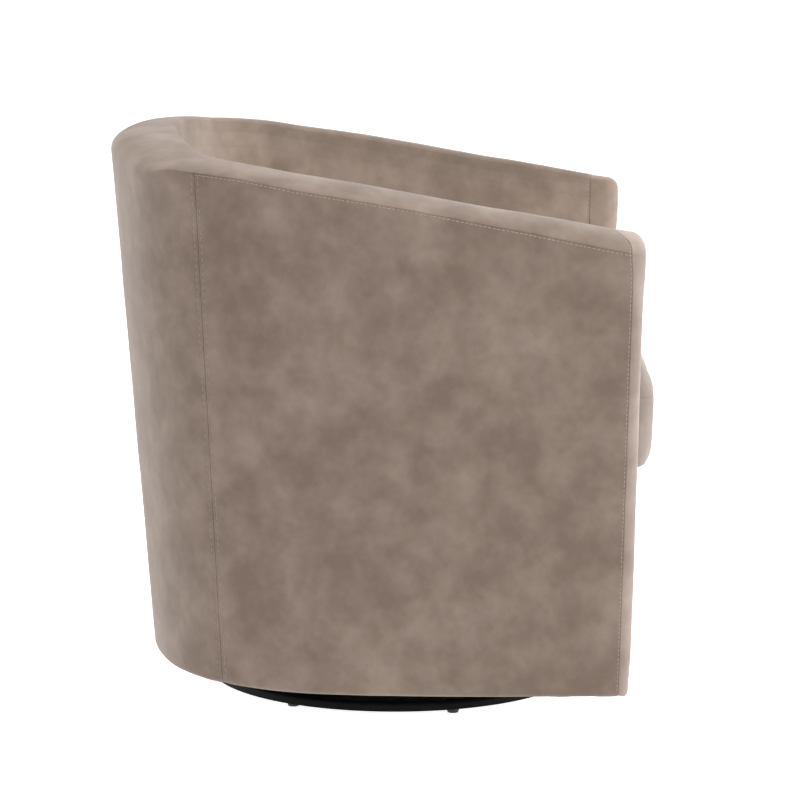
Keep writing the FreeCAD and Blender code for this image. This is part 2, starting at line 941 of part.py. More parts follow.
rivets, plate_screws = [], []
for i in range(8):
    a = math.radians(45.0 * i)
    x, y = D("rivet_ring_r") * math.cos(a), D("rivet_ring_r") * math.sin(a)
    n = "rivet%d_" % i
    rivets.append(
        fuse(
            n + "whole",
            [
                cylinder(n + "head", D("rivet_head_r"), D("rivet_head"), x, y, UP_Z - D("rivet_head")),
                cylinder(n + "shank", D("rivet_r"), D("race_thick") + D("plate_thick"), x, y, UP_Z),
            ],
        )
    )
    x, y = (
        D("plate_screw_ring_r") * math.cos(a),
        D("plate_screw_ring_r") * math.sin(a),
    )
    n = "plate_screw%d_" % i
    plate_screws.append(
        fuse(
            n + "whole",
            [
                cone(
                    n + "head",
                    D("plate_screw_head_r") - 1.2,
                    D("plate_screw_head_r"),
                    D("plate_screw_head"),
                    x,
                    y,
                    PLATE_Z - D("plate_screw_head"),
                ),
                cylinder(n + "shank", D("plate_screw_r"), D("plate_screw_length"), x, y, PLATE_Z),
            ],
        )
    )
node("race_rivets", group("race_rivets", rivets))
node("plate_screws", group("plate_screws", plate_screws))

# ---------------------------------------------------------------------------
# Wooden frame of the tub
# ---------------------------------------------------------------------------
BOARD_TOP = S("board_z") + S("board_thick")
q_low = plan(S("board_z"))


def post_quad(z, y0, y1, mirror):
    """Corners of a post in the side wall, from y0 to y1."""
    q = plan(z)
    pts = []
    for d, y in (
        (S("post_out"), y0),
        (S("post_out"), y1),
        (S("post_in"), y1),
        (S("post_in"), y0),
    ):
        x = side_x(q, d, y)
        pts.append((-x if mirror else x, y, z))
    return pts


def post_quad_turn(z, turn0, turn1, mirror):
    """Corners of a post in the curved wall, between two turns of the plan."""
    q = plan(z)
    pts = []
    for d, t in (
        (S("post_out"), turn0),
        (S("post_out"), turn1),
        (S("post_in") - 1.0, turn1),
        (S("post_in") - 1.0, turn0),
    ):
        x, y = at_turn(q, d, math.radians(t)) if t <= 90 else at_turn(q, d, math.radians(180 - t))
        if t > 90:
            x = -x
        pts.append((-x if mirror else x, y, z))
    return pts


pw = S("post_width")
POSTS = {}
for side, mirror in (("right", False), ("left", True)):
    z0, z1 = BOARD_TOP, TOPZ
    f0 = plan(z0)["front"] + BEHIND + 0.5
    f1 = plan(z1)["front"] + BEHIND + 0.5
    POSTS["post_front_" + side] = (
        quad_loft(
            post_quad(z0, f0, f0 + pw, mirror), post_quad(z1, f1, f1 + pw, mirror)
        ),
        post_quad(z0, f0, f0 + pw, mirror),
    )
    POSTS["post_side_" + side] = (
        quad_loft(
            post_quad(z0, -40.0, -40.0 + pw, mirror),
            post_quad(z1, -40.0, -40.0 + pw, mirror),
        ),
        post_quad(z0, -40.0, -40.0 + pw, mirror),
    )
    POSTS["post_rear_" + side] = (
        quad_loft(
            post_quad_turn(z0, 40.0, 51.0, mirror), post_quad_turn(z1, 40.0, 51.0, mirror)
        ),
        post_quad_turn(z0, 40.0, 51.0, mirror),
    )
POSTS["post_back"] = (
    quad_loft(
        post_quad_turn(BOARD_TOP, 86.6, 93.4, False), post_quad_turn(TOPZ, 86.6, 93.4, False)
    ),
    post_quad_turn(BOARD_TOP, 86.6, 93.4, False),
)

screw_shapes, screw_holes = [], []
for name in POSTS:
    quad = POSTS[name][1]
    cx = sum(p[0] for p in quad) / 4.0
    cy = sum(p[1] for p in quad) / 4.0
    base = Vector(cx, cy, S("board_z"))
    up = Vector(0, 0, 1)
    r, hr, hh = S("wood_screw_r"), S("wood_screw_head_r"), S("wood_screw_head_high")
    head = Part.makeCone(hr, r, hh, base + Vector(0, 0, 0.2), up)
    shank = Part.makeCylinder(r, S("wood_screw_length") - hh, base + Vector(0, 0, hh + 0.2), up)
    screw_shapes.append(head.fuse(shank).removeSplitter().Solids[0])
    h1 = Part.makeCone(hr + 0.3, r + 0.05, hh + 0.25, base, up)
    h2 = Part.makeCylinder(r + 0.05, S("wood_screw_length") + 1.0, base, up)
    screw_holes.append(h1.fuse(h2))

# bottom board: a flat panel of the tub's plan
board = Part.Face(d_wire(S("board_z"), S("rail_out"), q_low["front"] + BEHIND + 0.5)).extrude(
    Vector(0, 0, S("board_thick"))
)
board = board.cut(
    Part.makeCylinder(
        S("board_hole_r"), S("board_thick") + 2, Vector(0, 0, S("board_z") - 1)
    )
)
for i in range(8):
    x, y = ring_xy(S("plate_screw_ring_r"), 0.0, 8, i)
    board = board.cut(
        Part.makeCylinder(
            S("plate_screw_r") + 0.05,
            S("plate_screw_length") - S("plate_thick") + 1.0,
            Vector(x, y, S("board_z") - 0.001),
        )
    )
for hole in screw_holes:
    board = board.cut(hole)
feature("bottom_board", board)

under_rail = under_crown(S("drop_post"))
SEAT_MID = S("seat_z") + 0.5 * S("seat_thick")
for name in POSTS:
    s = POSTS[name][0].common(under_rail)
    for hole in screw_holes:
        s = s.cut(hole)
    POSTS[name] = (s, POSTS[name][1])
feature("post_screws", Part.makeCompound(screw_shapes))

# seat frame: a flat ring inside the posts
seat_q = plan(S("seat_z"))
seat_outer = d_wire(S("seat_z"), S("seat_out"), seat_q["front"] + BEHIND + 0.5)
seat_inner = d_wire(S("seat_z"), S("seat_in"), seat_q["front"] + S("seat_front_back"))
seat = Part.Face(seat_outer).extrude(Vector(0, 0, S("seat_thick")))
seat = seat.cut(Part.Face(seat_inner).extrude(Vector(0, 0, S("seat_thick"))))

# screws from the seat frame into the posts, square to the wall
seat_screws = []
SEAT_SCREW = 42.0
for name in POSTS:
    mirror = name.endswith("left")
    if "front" in name:
        y = seat_q["front"] + BEHIND + 0.5 + 0.5 * pw
        p_in = Vector(side_x(seat_q, S("seat_in"), y), y, SEAT_MID)
        n = Vector(-1, 0, 0)
    elif "side" in name:
        y = -40.0 + 0.5 * pw
        p_in = Vector(side_x(seat_q, S("seat_in"), y), y, SEAT_MID)
        n = Vector(-1, 0, 0)
    else:
        t = math.radians(45.5 if "rear" in name else 90.0)
        x, y = at_turn(seat_q, S("seat_in"), t)
        p_in = Vector(x, y, SEAT_MID)
        n = Vector(nrm(t)[0], nrm(t)[1], 0)
    if mirror:
        p_in.x, n.x = -p_in.x, -n.x
    # the head is sunk in the frame's inner edge, clear of the springs
    start = p_in + n * 16.0
    r, hr, hh = S("wood_screw_r"), S("wood_screw_head_r"), S("wood_screw_head_high")
    head = Part.makeCone(hr, r, hh, start, n)
    shank = Part.makeCylinder(r, SEAT_SCREW - hh, start + n * hh, n)
    seat_screws.append(head.fuse(shank).removeSplitter().Solids[0])
    bore = Part.makeCylinder(hr + 0.3, 16.0 + 1.0, p_in - n * 1.0, n)
    taper = Part.makeCone(hr + 0.3, r + 0.05, hh + 0.25, start, n)
    hole = Part.makeCylinder(r + 0.05, SEAT_SCREW + 0.5, start, n)
    seat = seat.cut(bore).cut(taper).cut(hole)
    POSTS[name] = (POSTS[name][0].cut(hole), POSTS[name][1])
feature("seat_frame", seat)
feature("seat_frame_screws", Part.makeCompound(seat_screws))
for name in POSTS:
    feature(name, POSTS[name][0])

# top rail: bent strip under the rim
rail = wall_layer(S("rail_out"), S("rail_in"), BEHIND + 0.5, 450.0, TOPZ)
rail = rail.common(under_crown(S("drop_rail_high"))).cut(under_crown(S("drop_rail_low")))
feature("top_rail", rail)

# front apron board between the front posts
z0, z1 = BOARD_TOP + 0.3, S("seat_z") - 0.3


def apron_quad(z, y0, y1, d):
    q = plan(z)
    x = q["c0x"] - (q["r0"] - d)
    f = q["front"]
    return [(x, f + y0, z), (-x, f + y0, z), (-x, f + y1, z), (x, f + y1, z)]


ay0 = BEHIND + 0.5
ay1 = ay0 + S("apron_thick")
feature(
    "front_apron",
    quad_loft(apron_quad(z0, ay0, ay1, S("seat_out")), apron_quad(z1, ay0, ay1, S("seat_out"))),
)

# corner blocks behind the apron, on the bottom board and under the seat frame
blocks = []
leg, high = S("block_leg"), S("block_high")
for zb in (BOARD_TOP + 0.3, S("seat_z") - 0.3 - high):
    for mirror in (False, True):
        q0 = plan(zb)
        q1 = plan(zb + high)
        x = max(
            q0["c0x"] - (q0["r0"] - S("seat_out")), q1["c0x"] - (q1["r0"] - S("seat_out"))
        )
        y = max(q0["front"], q1["front"]) + ay1 + 0.3
        pts = [Vector(x, y, zb), Vector(x + leg, y, zb), Vector(x, y + leg, zb)]
        if mirror:
            pts = [Vector(-p.x, p.y, p.z) for p in pts]
        blocks.append(
            Part.Face(Part.makePolygon(pts + [pts[0]])).extrude(Vector(0, 0, high))
        )
feature("corner_blocks", Part.makeCompound(blocks))

# ---------------------------------------------------------------------------
# Seat suspension
# ---------------------------------------------------------------------------
SEAT_TOP = S("seat_z") + S("seat_thick")
WIRE_Z = SEAT_TOP + S("clip_thick") + 0.3 + S("spring_wire_r")
y_start = seat_q["front"] + S("seat_front_back") - S("spring_start")
springs, clips = [], []


def clip_shape(x, y, to_front):
    """A bent strip nailed to the frame that holds the spring's end bar."""
    t, w = S("clip_thick"), S("clip_wide")
    r = S("spring_wire_r") + 0.3
    zc = WIRE_Z
    outer = Part.makeCylinder(r + t, w, Vector(x - w / 2, y, zc), Vector(1, 0, 0))
    inner = Part.makeCylinder(r, w + 2, Vector(x - w / 2 - 1, y, zc), Vector(1, 0, 0))
    tab_len = 10.0
    y0 = y - tab_len if to_front else y
    tab = Part.makeBox(w, tab_len, t, Vector(x - w / 2, y0, zc - r - t))
    # the curl is open on the side where the spring leaves
    mouth = Part.makeBox(
        w + 4, 20, 20, Vector(x - w / 2 - 2, y if to_front else y - 20, zc - 10)
    )
    s = outer.cut(inner).cut(mouth)
    return s.fuse(tab).removeSplitter()


for k in range(-2, 3):
    x = k * S("spring_gap")
    y_end = back_y(seat_q, S("seat_in"), abs(x) + 0.5 * S("spring_bar") + 14.0) + S("spring_start")
    count = int(round((y_end - y_start) / S("spring_pitch")))
    pitch = (y_end - y_start) / count
    r = 0.5 * pitch
    hb = 0.5 * S("spring_bar")
    edges = []
    for i in range(count + 1):
        y = y_start + i * pitch
        s = 1.0 if i % 2 == 0 else -1.0
        p0, p1 = Vector(x - s * hb, y, WIRE_Z), Vector(x + s * hb, y, WIRE_Z)
        edges.append(Part.LineSegment(p0, p1).toShape())
        if i < count:
            mid = Vector(x + s * (hb + r), y + r, WIRE_Z)
            end = Vector(x + s * hb, y + pitch, WIRE_Z)
            edges.append(Part.Arc(p1, mid, end).toShape())
    path = Part.Wire(edges)
    start = edges[0].Vertexes[0].Point
    prof = Part.Wire(
        [Part.makeCircle(S("spring_wire_r"), start, Vector(1, 0, 0))]
    )
    springs.append(path.makePipeShell([prof], True, False))
    clips.append(clip_shape(x, y_start, True))
    clips.append(clip_shape(x, y_end, False))
feature("seat_springs", Part.makeCompound(springs))
feature("spring_clips", Part.makeCompound(clips))

ties = []
TIE_Z = WIRE_Z + S("spring_wire_r") + S("tie_wire_r") + 0.1
for i, y in enumerate((-70.0, 70.0)):
    o = doc.addObject("Part::Cylinder", "tie_wire%d" % i)
    bind(o, "Radius", D("tie_wire_r"))
    bind(o, "Height", D("tie_wire_half") * 2)
    o.Placement = Placement(
        Vector(-S("tie_wire_half"), y, TIE_Z), Rotation(Vector(0, 1, 0), 90)
    )
    ties.append(o)
node("spring_tie_wires", group("spring_tie_wires", ties))

# deck felt over the springs
felt_q = plan(S("felt_z"))
feature(
    "deck_felt",
    Part.Face(
        d_wire(S("felt_z"), S("foam_out"), felt_q["front"] + BEHIND + 0.5)
    ).extrude(Vector(0, 0, S("felt_thick"))),
)

# ---------------------------------------------------------------------------
# Upholstery of the tub
# ---------------------------------------------------------------------------
# boards that carry the outer and inner upholstery
backing = wall_layer(S("backing_out"), S("backing_in"), BEHIND + 0.5, S("board_z"), TOPZ)
backing = backing.common(under_crown(S("drop_pad_low") + 0.5))
feature("outer_backing_right", backing.common(seam_side(True, 1.0)).common(half(True)))
feature("outer_backing_left", backing.common(seam_side(True, 1.0)).common(half(False)))
feature("outer_backing_back", backing.common(seam_side(False, 1.0)))

inner_board = wall_layer(
    S("inner_board_out"), S("inner_board_in"), BEHIND + 0.5, SEAT_TOP + 0.5, TOPZ
)
feature("inner_backing", inner_board.common(under_crown(S("drop_pad_low") + 0.5)))

# foam on the arms and the back
SPLIT = 150.0
EXTRA = S("back_extra")
foam = wall_layer(S("foam_out"), S("foam_in"), BEHIND + 0.5, S("foam_z"), TOPZ, 0.0, EXTRA)
foam = foam.common(under_crown(S("drop_pad_low") + 0.5))
feature("arm_foam_right", foam.common(block_y(True, SPLIT - 0.3)).common(half(True)))
feature("arm_foam_left", foam.common(block_y(True, SPLIT - 0.3)).common(half(False)))
feature("back_foam", foam.common(block_y(False, SPLIT + 0.3)))

# covers outside and inside
outer_cover = wall_layer(0.0, S("cover_in"), BEHIND, S("tub_bottom_z"), TOPZ)
outer_cover = outer_cover.common(under_crown(S("drop_cover")))
feature("outer_cover_right", outer_cover.common(seam_side(True, 0.6)).common(half(True)))
feature("outer_cover_left", outer_cover.common(seam_side(True, 0.6)).common(half(False)))
feature("outer_cover_back", outer_cover.common(seam_side(False, 0.6)))

inside = wall_layer(S("lining_out"), S("wall"), BEHIND, S("lining_z") + 2.0, TOPZ, EXTRA, EXTRA)
inside = inside.common(under_crown(S("drop_cover")))
feature("inner_cover_right", inside.common(block_y(True, SPLIT - 0.3)).common(half(True)))
feature("inner_cover_left", inside.common(block_y(True, SPLIT - 0.3)).common(half(False)))
feature("inner_cover_back", inside.common(block_y(False, SPLIT + 0.3)))


# rim: padding on the top rail and a cover that wraps it
def rim_solid(d_out, d_in, drop_high, drop_low, behind):
    s = wall_layer(d_out, d_in, behind, 450.0, TOPZ, 0.0, EXTRA)
    return s.common(under_crown(drop_high)).cut(under_crown(drop_low))


def top_edges(shape, drop):
    """Long edges on the rim's sloping top plane."""
    out = []
    for ed in shape.Edges:
        mids = [ed.valueAt(ed.FirstParameter + f * (ed.LastParameter - ed.FirstParameter)) for f in (0.0, 0.5, 1.0)]
        if all(abs(p.z - crown_z(p.y, drop)) < 1e-3 for p in mids):
            ys = [p.y for p in mids]
            if max(ys) - min(ys) > 20.0 or max(ys) > 0.0:
                out.append(ed)
    return out


rim = rim_solid(0.0, S("wall"), 0.0, S("drop_band"), BEHIND)
rim = rim.makeChamfer(S("rim_round"), top_edges(rim, 0.0))
hollow = rim_solid(S("cover_in"), S("lining_out"), S("drop_band_in"), S("drop_band") + 5.0, BEHIND - 1.0)
hollow = hollow.makeChamfer(S("rim_round") - 1.5, top_edges(hollow, S("drop_band_in")))
feature("rim_cover", rim.cut(hollow))
padding = rim_solid(
    S("cover_in") + 0.5, S("foam_in"), S("drop_pad_high"), S("drop_pad_low"), BEHIND + 0.5
)
padding = padding.makeChamfer(S("pad_round"), top_edges(padding, S("drop_pad_high")))
feature("rim_padding", padding)


# arm fronts, front cover, dust cover
def arm_front_quad(z, mirror):
    q = plan(z)
    x0 = q["c0x"] - q["r0"]
    x1 = x0 + S("wall")
    f = q["front"]
    t = S("front_thick")
    pts = [(x0, f, z), (x1, f, z), (x1, f + t, z), (x0, f + t, z)]
    return [(-p[0], p[1], p[2]) for p in pts] if mirror else pts


for side, mirror in (("right", False), ("left", True)):
    s = quad_loft(arm_front_quad(S("tub_bottom_z"), mirror), arm_front_quad(TOPZ, mirror))
    feature("arm_front_" + side, s.common(under_crown(0.0)))

feature(
    "front_cover",
    quad_loft(
        apron_quad(S("tub_bottom_z"), S("apron_cover_set"), S("front_thick"), S("wall") + 0.6),
        apron_quad(S("apron_cover_top"), S("apron_cover_set"), S("front_thick"), S("wall") + 0.6),
    ),
)

dust_z = S("tub_bottom_z") + 0.3
dust = Part.Face(
    d_wire(dust_z, S("cover_in") + 0.8, plan(dust_z)["front"] + BEHIND + 0.3)
).extrude(Vector(0, 0, S("dust_thick")))
dust = dust.cut(
    Part.makeCylinder(S("dust_hole_r"), 10.0, Vector(0, 0, dust_z - 5.0))
)
feature("dust_cover", dust)

# ---------------------------------------------------------------------------
# Loose seat cushion
# ---------------------------------------------------------------------------
cz, ch, cc = S("cushion_z"), S("cushion_high"), S("cushion_cloth")


def cushion_plan(z_plan, inset):
    w = d_wire(S("cushion_z"), S("cushion_set") + inset, S("cushion_front") + inset, EXTRA)
    w = w.copy()
    w.translate(Vector(0, 0, z_plan - S("cushion_z")))
    return Part.Face(w)


cup = cushion_plan(cz + cc + 0.2, 0.0).extrude(Vector(0, 0, ch - cc - 0.2))
hollow = cushion_plan(cz + cc, cc).extrude(Vector(0, 0, ch - 2 * cc))
feature("cushion_cover", cup.cut(hollow))
feature("cushion_base_cover", cushion_plan(cz, 0.0).extrude(Vector(0, 0, cc)))
core = cushion_plan(cz + cc + 0.5, S("cushion_core_set")).extrude(
    Vector(0, 0, ch - 2 * cc - 8.0)
)
core_front = core.BoundBox.YMin


def is_level(ed, z):
    return all(abs(v.Point.z - z) < 1e-3 for v in ed.Vertexes)


corners = [
    ed
    for ed in core.Edges
    if all(abs(v.Point.y - core_front) < 1e-3 for v in ed.Vertexes)
    and abs(ed.Vertexes[0].Point.z - ed.Vertexes[-1].Point.z) > 1.0
]
core = core.makeFillet(S("cushion_core_corner"), corners)
core_low, core_high = core.BoundBox.ZMin, core.BoundBox.ZMax
core = core.makeFillet(S("cushion_core_top"), [ed for ed in core.Edges if is_level(ed, core_high)])
core = core.makeFillet(S("cushion_core_low"), [ed for ed in core.Edges if is_level(ed, core_low)])
feature("cushion_core", core)

q = plan(cz)
zr0 = q["rb"] - S("cushion_set") + 0.2
zr1 = zr0 + S("zip_thick")
zz = cz + 0.5 * ch - 0.5 * S("zip_high")
ang = math.asin(S("zip_half") / zr0)


def tape_point(r, a):
    return Vector(r * math.sin(a), q["cby"] - EXTRA + r * math.cos(a), zz)


tape_edges = [
    Part.Arc(tape_point(zr1, -ang), tape_point(zr1, 0.0), tape_point(zr1, ang)).toShape(),
    Part.LineSegment(tape_point(zr1, ang), tape_point(zr0, ang)).toShape(),
    Part.Arc(tape_point(zr0, ang), tape_point(zr0, 0.0), tape_point(zr0, -ang)).toShape(),
    Part.LineSegment(tape_point(zr0, -ang), tape_point(zr1, -ang)).toShape(),
]
tape = Part.Face(Part.Wire(tape_edges)).extrude(Vector(0, 0, S("zip_high")))
feature("cushion_zip", tape)

# ---------------------------------------------------------------------------
# Checks, then one file per piece
# ---------------------------------------------------------------------------
doc.recompute()
bad = []
for o in doc.Objects:
    if "Invalid" in o.State or "Error" in o.State:
        bad.append("%s: %s" % (o.Label, o.State))
for label, o in NODES.items():
    sh = o.Shape
    if sh.isNull():
        bad.append("%s: empty" % label)
    elif not sh.isValid():
        bad.append("%s: not valid" % label)
    elif not sh.Solids or any(s.Volume <= 0 for s in sh.Solids):
        bad.append("%s: no solid" % label)
if bad:
    raise RuntimeError("; ".join(bad))

for old in os.listdir("parts"):
    if old.endswith(".step") and old[:-5] not in NODES:
        os.remove(os.path.join("parts", old))
for label, o in NODES.items():
    o.Shape.exportStep("parts/%s.step" % label)
    bb = o.Shape.optimalBoundingBox(False)
    print(
        "%-22s solids %2d  vol %10.1f  x %7.1f %7.1f  y %7.1f %7.1f  z %6.1f %6.1f"
        % (label, len(o.Shape.Solids), o.Shape.Volume, bb.XMin, bb.XMax, bb.YMin, bb.YMax, bb.ZMin, bb.ZMax)
    )
print(len(NODES), "nodes")
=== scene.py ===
import bpy
import bmesh
import json
import math
import numpy as np
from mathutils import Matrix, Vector
from mathutils.bvhtree import BVHTree


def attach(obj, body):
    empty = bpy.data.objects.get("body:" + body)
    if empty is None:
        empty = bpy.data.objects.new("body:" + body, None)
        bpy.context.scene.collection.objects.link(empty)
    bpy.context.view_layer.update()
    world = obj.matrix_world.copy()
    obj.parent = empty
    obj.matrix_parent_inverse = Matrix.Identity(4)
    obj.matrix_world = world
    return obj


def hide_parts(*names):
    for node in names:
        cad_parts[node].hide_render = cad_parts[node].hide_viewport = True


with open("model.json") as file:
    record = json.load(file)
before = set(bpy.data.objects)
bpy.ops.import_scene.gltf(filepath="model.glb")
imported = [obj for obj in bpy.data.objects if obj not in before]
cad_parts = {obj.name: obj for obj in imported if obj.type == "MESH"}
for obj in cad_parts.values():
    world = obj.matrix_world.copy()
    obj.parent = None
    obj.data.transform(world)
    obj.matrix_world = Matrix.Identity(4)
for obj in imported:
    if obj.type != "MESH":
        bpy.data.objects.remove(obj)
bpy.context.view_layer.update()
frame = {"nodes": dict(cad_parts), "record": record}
scene = bpy.context.scene
NODES = frame["nodes"]

# ---------------------------------------------------------------------------
# Small maths
# ---------------------------------------------------------------------------


def smooth(x):
    x = np.clip(x, 0.0, 1.0)
    return x * x * (3.0 - 2.0 * x)


def g(delta, r):
    """Depth of a rounded edge of radius r at the distance delta from the edge."""
    x = np.clip(delta, 0.0, r)
    return r - np.sqrt(np.maximum(r * r - (r - x) ** 2, 0.0))


def pnorm(*parts):
    return sum(np.maximum(p, 0.0) ** 3 for p in parts) ** (1.0 / 3.0)


def _hash(ix, iy, iz, seed):
    n = ix * 73856093 ^ iy * 19349663 ^ iz * 83492791 ^ (seed * 2654435761)
    n = n & 0xFFFFFFFF
    n = ((n ^ (n >> 15)) * 2246822519) & 0xFFFFFFFF
    n = ((n ^ (n >> 13)) * 3266489917) & 0xFFFFFFFF
    n = n ^ (n >> 16)
    return n.astype(np.float64) / 2147483648.0 - 1.0


def vnoise(p, scale, seed=1):
    """Smooth lattice noise from -1 to 1."""
    q = np.asarray(p, float) * np.asarray(scale, float)
    i = np.floor(q).astype(np.int64)
    f = q - i
    u = f * f * f * (f * (f * 6.0 - 15.0) + 10.0)
    total = 0.0
    for dx in (0, 1):
        wx = u[..., 0] if dx else 1.0 - u[..., 0]
        for dy in (0, 1):
            wy = u[..., 1] if dy else 1.0 - u[..., 1]
            for dz in (0, 1):
                wz = u[..., 2] if dz else 1.0 - u[..., 2]
                total = total + wx * wy * wz * _hash(
                    i[..., 0] + dx, i[..., 1] + dy, i[..., 2] + dz, seed
                )
    return total


def fbm(p, scale, seed=1, octaves=3):
    total, amp = 0.0, 1.0
    for k in range(octaves):
        total = total + amp * vnoise(p, np.asarray(scale, float) * 2.0**k, seed + 17 * k)
        amp *= 0.5
    return total / 1.75


# ---------------------------------------------------------------------------
# Plan of the tub: right half (x < 0); straight front, long side arc, corner
# arc, back arc. All sizes in metres, measured inwards from the outer skin.
# ---------------------------------------------------------------------------
ZB, ZT = 0.053, 0.743
T1, T2 = math.radians(8.0), math.radians(70.0)


def plan_ref(half, back, rb, ra, front):
    n1 = (-math.cos(T1), math.sin(T1))
    n2 = (-math.cos(T2), math.sin(T2))
    cby = back - rb
    p2 = (rb * n2[0], cby + rb * n2[1])
    ca = (p2[0] - ra * n2[0], p2[1] - ra * n2[1])
    p1 = (ca[0] + ra * n1[0], ca[1] + ra * n1[1])
    r0 = (half + p1[0]) / (1.0 - math.cos(T1))
    c0 = (p1[0] - r0 * n1[0], p1[1] - r0 * n1[1])
    return dict(
        cby=cby, rb=rb, cax=ca[0], cay=ca[1], ra=ra, c0x=c0[0], c0y=c0[1], r0=r0, front=front
    )


LOW = plan_ref(0.330, 0.319, 0.450, 0.250, -0.291)
HIGH = plan_ref(0.348, 0.371, 0.620, 0.178, -0.307)


def q(key, z):
    return LOW[key] + (HIGH[key] - LOW[key]) * (np.asarray(z, float) - ZB) / (ZT - ZB)


SEG = np.array([0.190, 0.290, 0.210, 0.200])
CUM = np.concatenate([[0.0], np.cumsum(SEG)])
S_END = float(CUM[-1])


def skin(s, z, d, behind=0.0):
    """Point of the right half at station s, height z and depth d, and its outward normal in plan."""
    s, z, d, behind = np.broadcast_arrays(
        np.asarray(s, float), np.asarray(z, float), np.asarray(d, float), np.asarray(behind, float)
    )
    k = np.clip(np.searchsorted(CUM, s, "right") - 1, 0, 3)
    f = (s - CUM[k]) / SEG[k]
    t = np.where(
        k == 0, 0.0, np.where(k == 1, f * T1, np.where(k == 2, T1 + f * (T2 - T1), T2 + f * (math.pi / 2 - T2)))
    )
    nx, ny = -np.cos(t), np.sin(t)
    f0 = q("front", z) + behind
    cx = np.where(k <= 1, q("c0x", z), np.where(k == 2, q("cax", z), 0.0))
    cy = np.where(k <= 1, q("c0y", z), np.where(k == 2, q("cay", z), q("cby", z)))
    r = np.where(k <= 1, q("r0", z), np.where(k == 2, q("ra", z), q("rb", z)))
    x = cx + (r - d) * nx
    y = cy + (r - d) * ny
    y = np.where(k == 0, f0 + f * (q("c0y", z) - f0), y)
    return x, y, nx, ny


def depth_in_wall(x, y, z):
    """Depth below the outer skin of a point inside the tub, and the turn of the plan there."""
    xr = -np.abs(x)
    vx, vy = xr - q("c0x", z), y - q("c0y", z)
    t0 = np.arctan2(vy, -vx)
    d0 = q("r0", z) - np.hypot(vx, vy)
    wx, wy = xr - q("cax", z), y - q("cay", z)
    ta = np.arctan2(wy, -wx)
    da = q("ra", z) - np.hypot(wx, wy)
    bx, by = xr, y - q("cby", z)
    tb = np.arctan2(by, -bx)
    db = q("rb", z) - np.hypot(bx, by)
    in_back, in_corner = tb >= T2, ta >= T1
    d = np.where(in_back, db, np.where(in_corner, da, d0))
    t = np.where(in_back, tb, np.where(in_corner, ta, t0))
    straight = t0 <= 0
    return np.where(straight, xr - (q("c0x", z) - q("r0", z)), d), np.where(straight, 0.0, t)


W = 0.068  # wall at the arms
EXTRA = 0.018  # thicker by this much behind the sitter
R_IN = 0.0060  # inner edge of the rim
MID = 0.5 * W
CROWN = W - R_IN  # the rim is highest here
FULL = 2.4  # fullness of the rim's section
R_OUT, R_LOW = 0.0115, 0.007
SEAT = 0.3226  # top of the deck


def wall_depth(ny):
    return W + EXTRA * ny**1.35


def crown_depth(ny):
    return CROWN + EXTRA * ny**1.35


def crown_z(y):
    rear = np.maximum(y + 0.006, 0.0)
    line = 0.6845 + 0.181 * (y + 0.006) - 0.16 * rear**2 - 0.0016 * smooth((y + 0.17) / 0.06)
    return line + 0.0105 * smooth((y - 0.235) / 0.055) + 0.0036 * smooth((y - 0.100) / 0.11)


def at_back(ny):
    return smooth((ny - 0.62) / 0.33)


def drop_seam(y, ny):
    """From the crown down to the seam on the outside; much more at the back, where no seam runs."""
    side = 0.0138 - 0.0032 * smooth((y - 0.08) / 0.19) + 0.0066 * smooth((-0.02 - y) / 0.28)
    return side + (0.0300 - side) * at_back(ny)


DS_FRONT = 0.0204


def section(u, back=0.0):
    """Fall of the rim's outer half at u (0 at the outside, 1 at the crown), as a part of the whole drop."""
    a = np.clip(1.0 - u, 0.0, 1.0)
    full = 1.0 - np.maximum(1.0 - a**FULL, 0.0) ** (1.0 / FULL)
    lean = a**2.4
    return lean + (full - lean) * (0.32 + 0.68 * back)


def dome(d):
    """How far the rim's section lies below its crown at the front of the arms."""
    b = np.clip((d - CROWN) / R_IN, 0.0, 1.0)
    return np.where(d < CROWN, DS_FRONT * section(d / CROWN), R_IN * (1.0 - np.sqrt(np.maximum(1.0 - b * b, 0.0))))


def r_top(d):
    return 0.010 + 0.007 * smooth(d / W)


def r_in(z):
    return 0.009 + 0.009 * smooth((z - 0.292) / 0.03)


F_TOP = float(q("front", 0.625))


def front_edge_z(d, z=0.6):
    depth = pnorm(g(d, R_OUT), g(W - d, r_in(z)), r_top(d))
    return crown_z(F_TOP + depth) - dome(d)


def front_depth(d, z):
    """How far the arm front's surface lies behind its foremost plane."""
    return pnorm(
        g(d, R_OUT), g(W - d, r_in(z)), g(front_edge_z(d) - z, r_top(d)), g(z - ZB, R_LOW)
    )


def behind(d, z):
    """The seam behind the arm front, from the foremost plane: close outside, further back inside."""
    inner = smooth(d / W) * smooth((z - 0.292) / 0.03)
    corner = np.exp(-(((front_edge_z(d) - z) / 0.016) ** 2)) * (1.0 - smooth(d / (0.6 * W)))
    return 0.0128 + 0.0242 * inner + 0.0022 * corner


# ---------------------------------------------------------------------------
# Mesh helpers
# ---------------------------------------------------------------------------
EDGE = np.array([0.0, 0.0002, 0.0005, 0.0009, 0.0014, 0.0021, 0.0031, 0.0042, 0.0050, 0.0058, 0.0070, 0.0095, 0.0135, 0.019])
STITCH_AT = 8  # index in EDGE of the stitch line
CLOSE_AT = 5  # the same where it runs along the very edge
ROLL = 0.0012
ROLL_CAP = 0.0005  # at the arm fronts, where the seam lies flat
LAP = 0.0011  # edge of the side cover, which lies over the rim cover


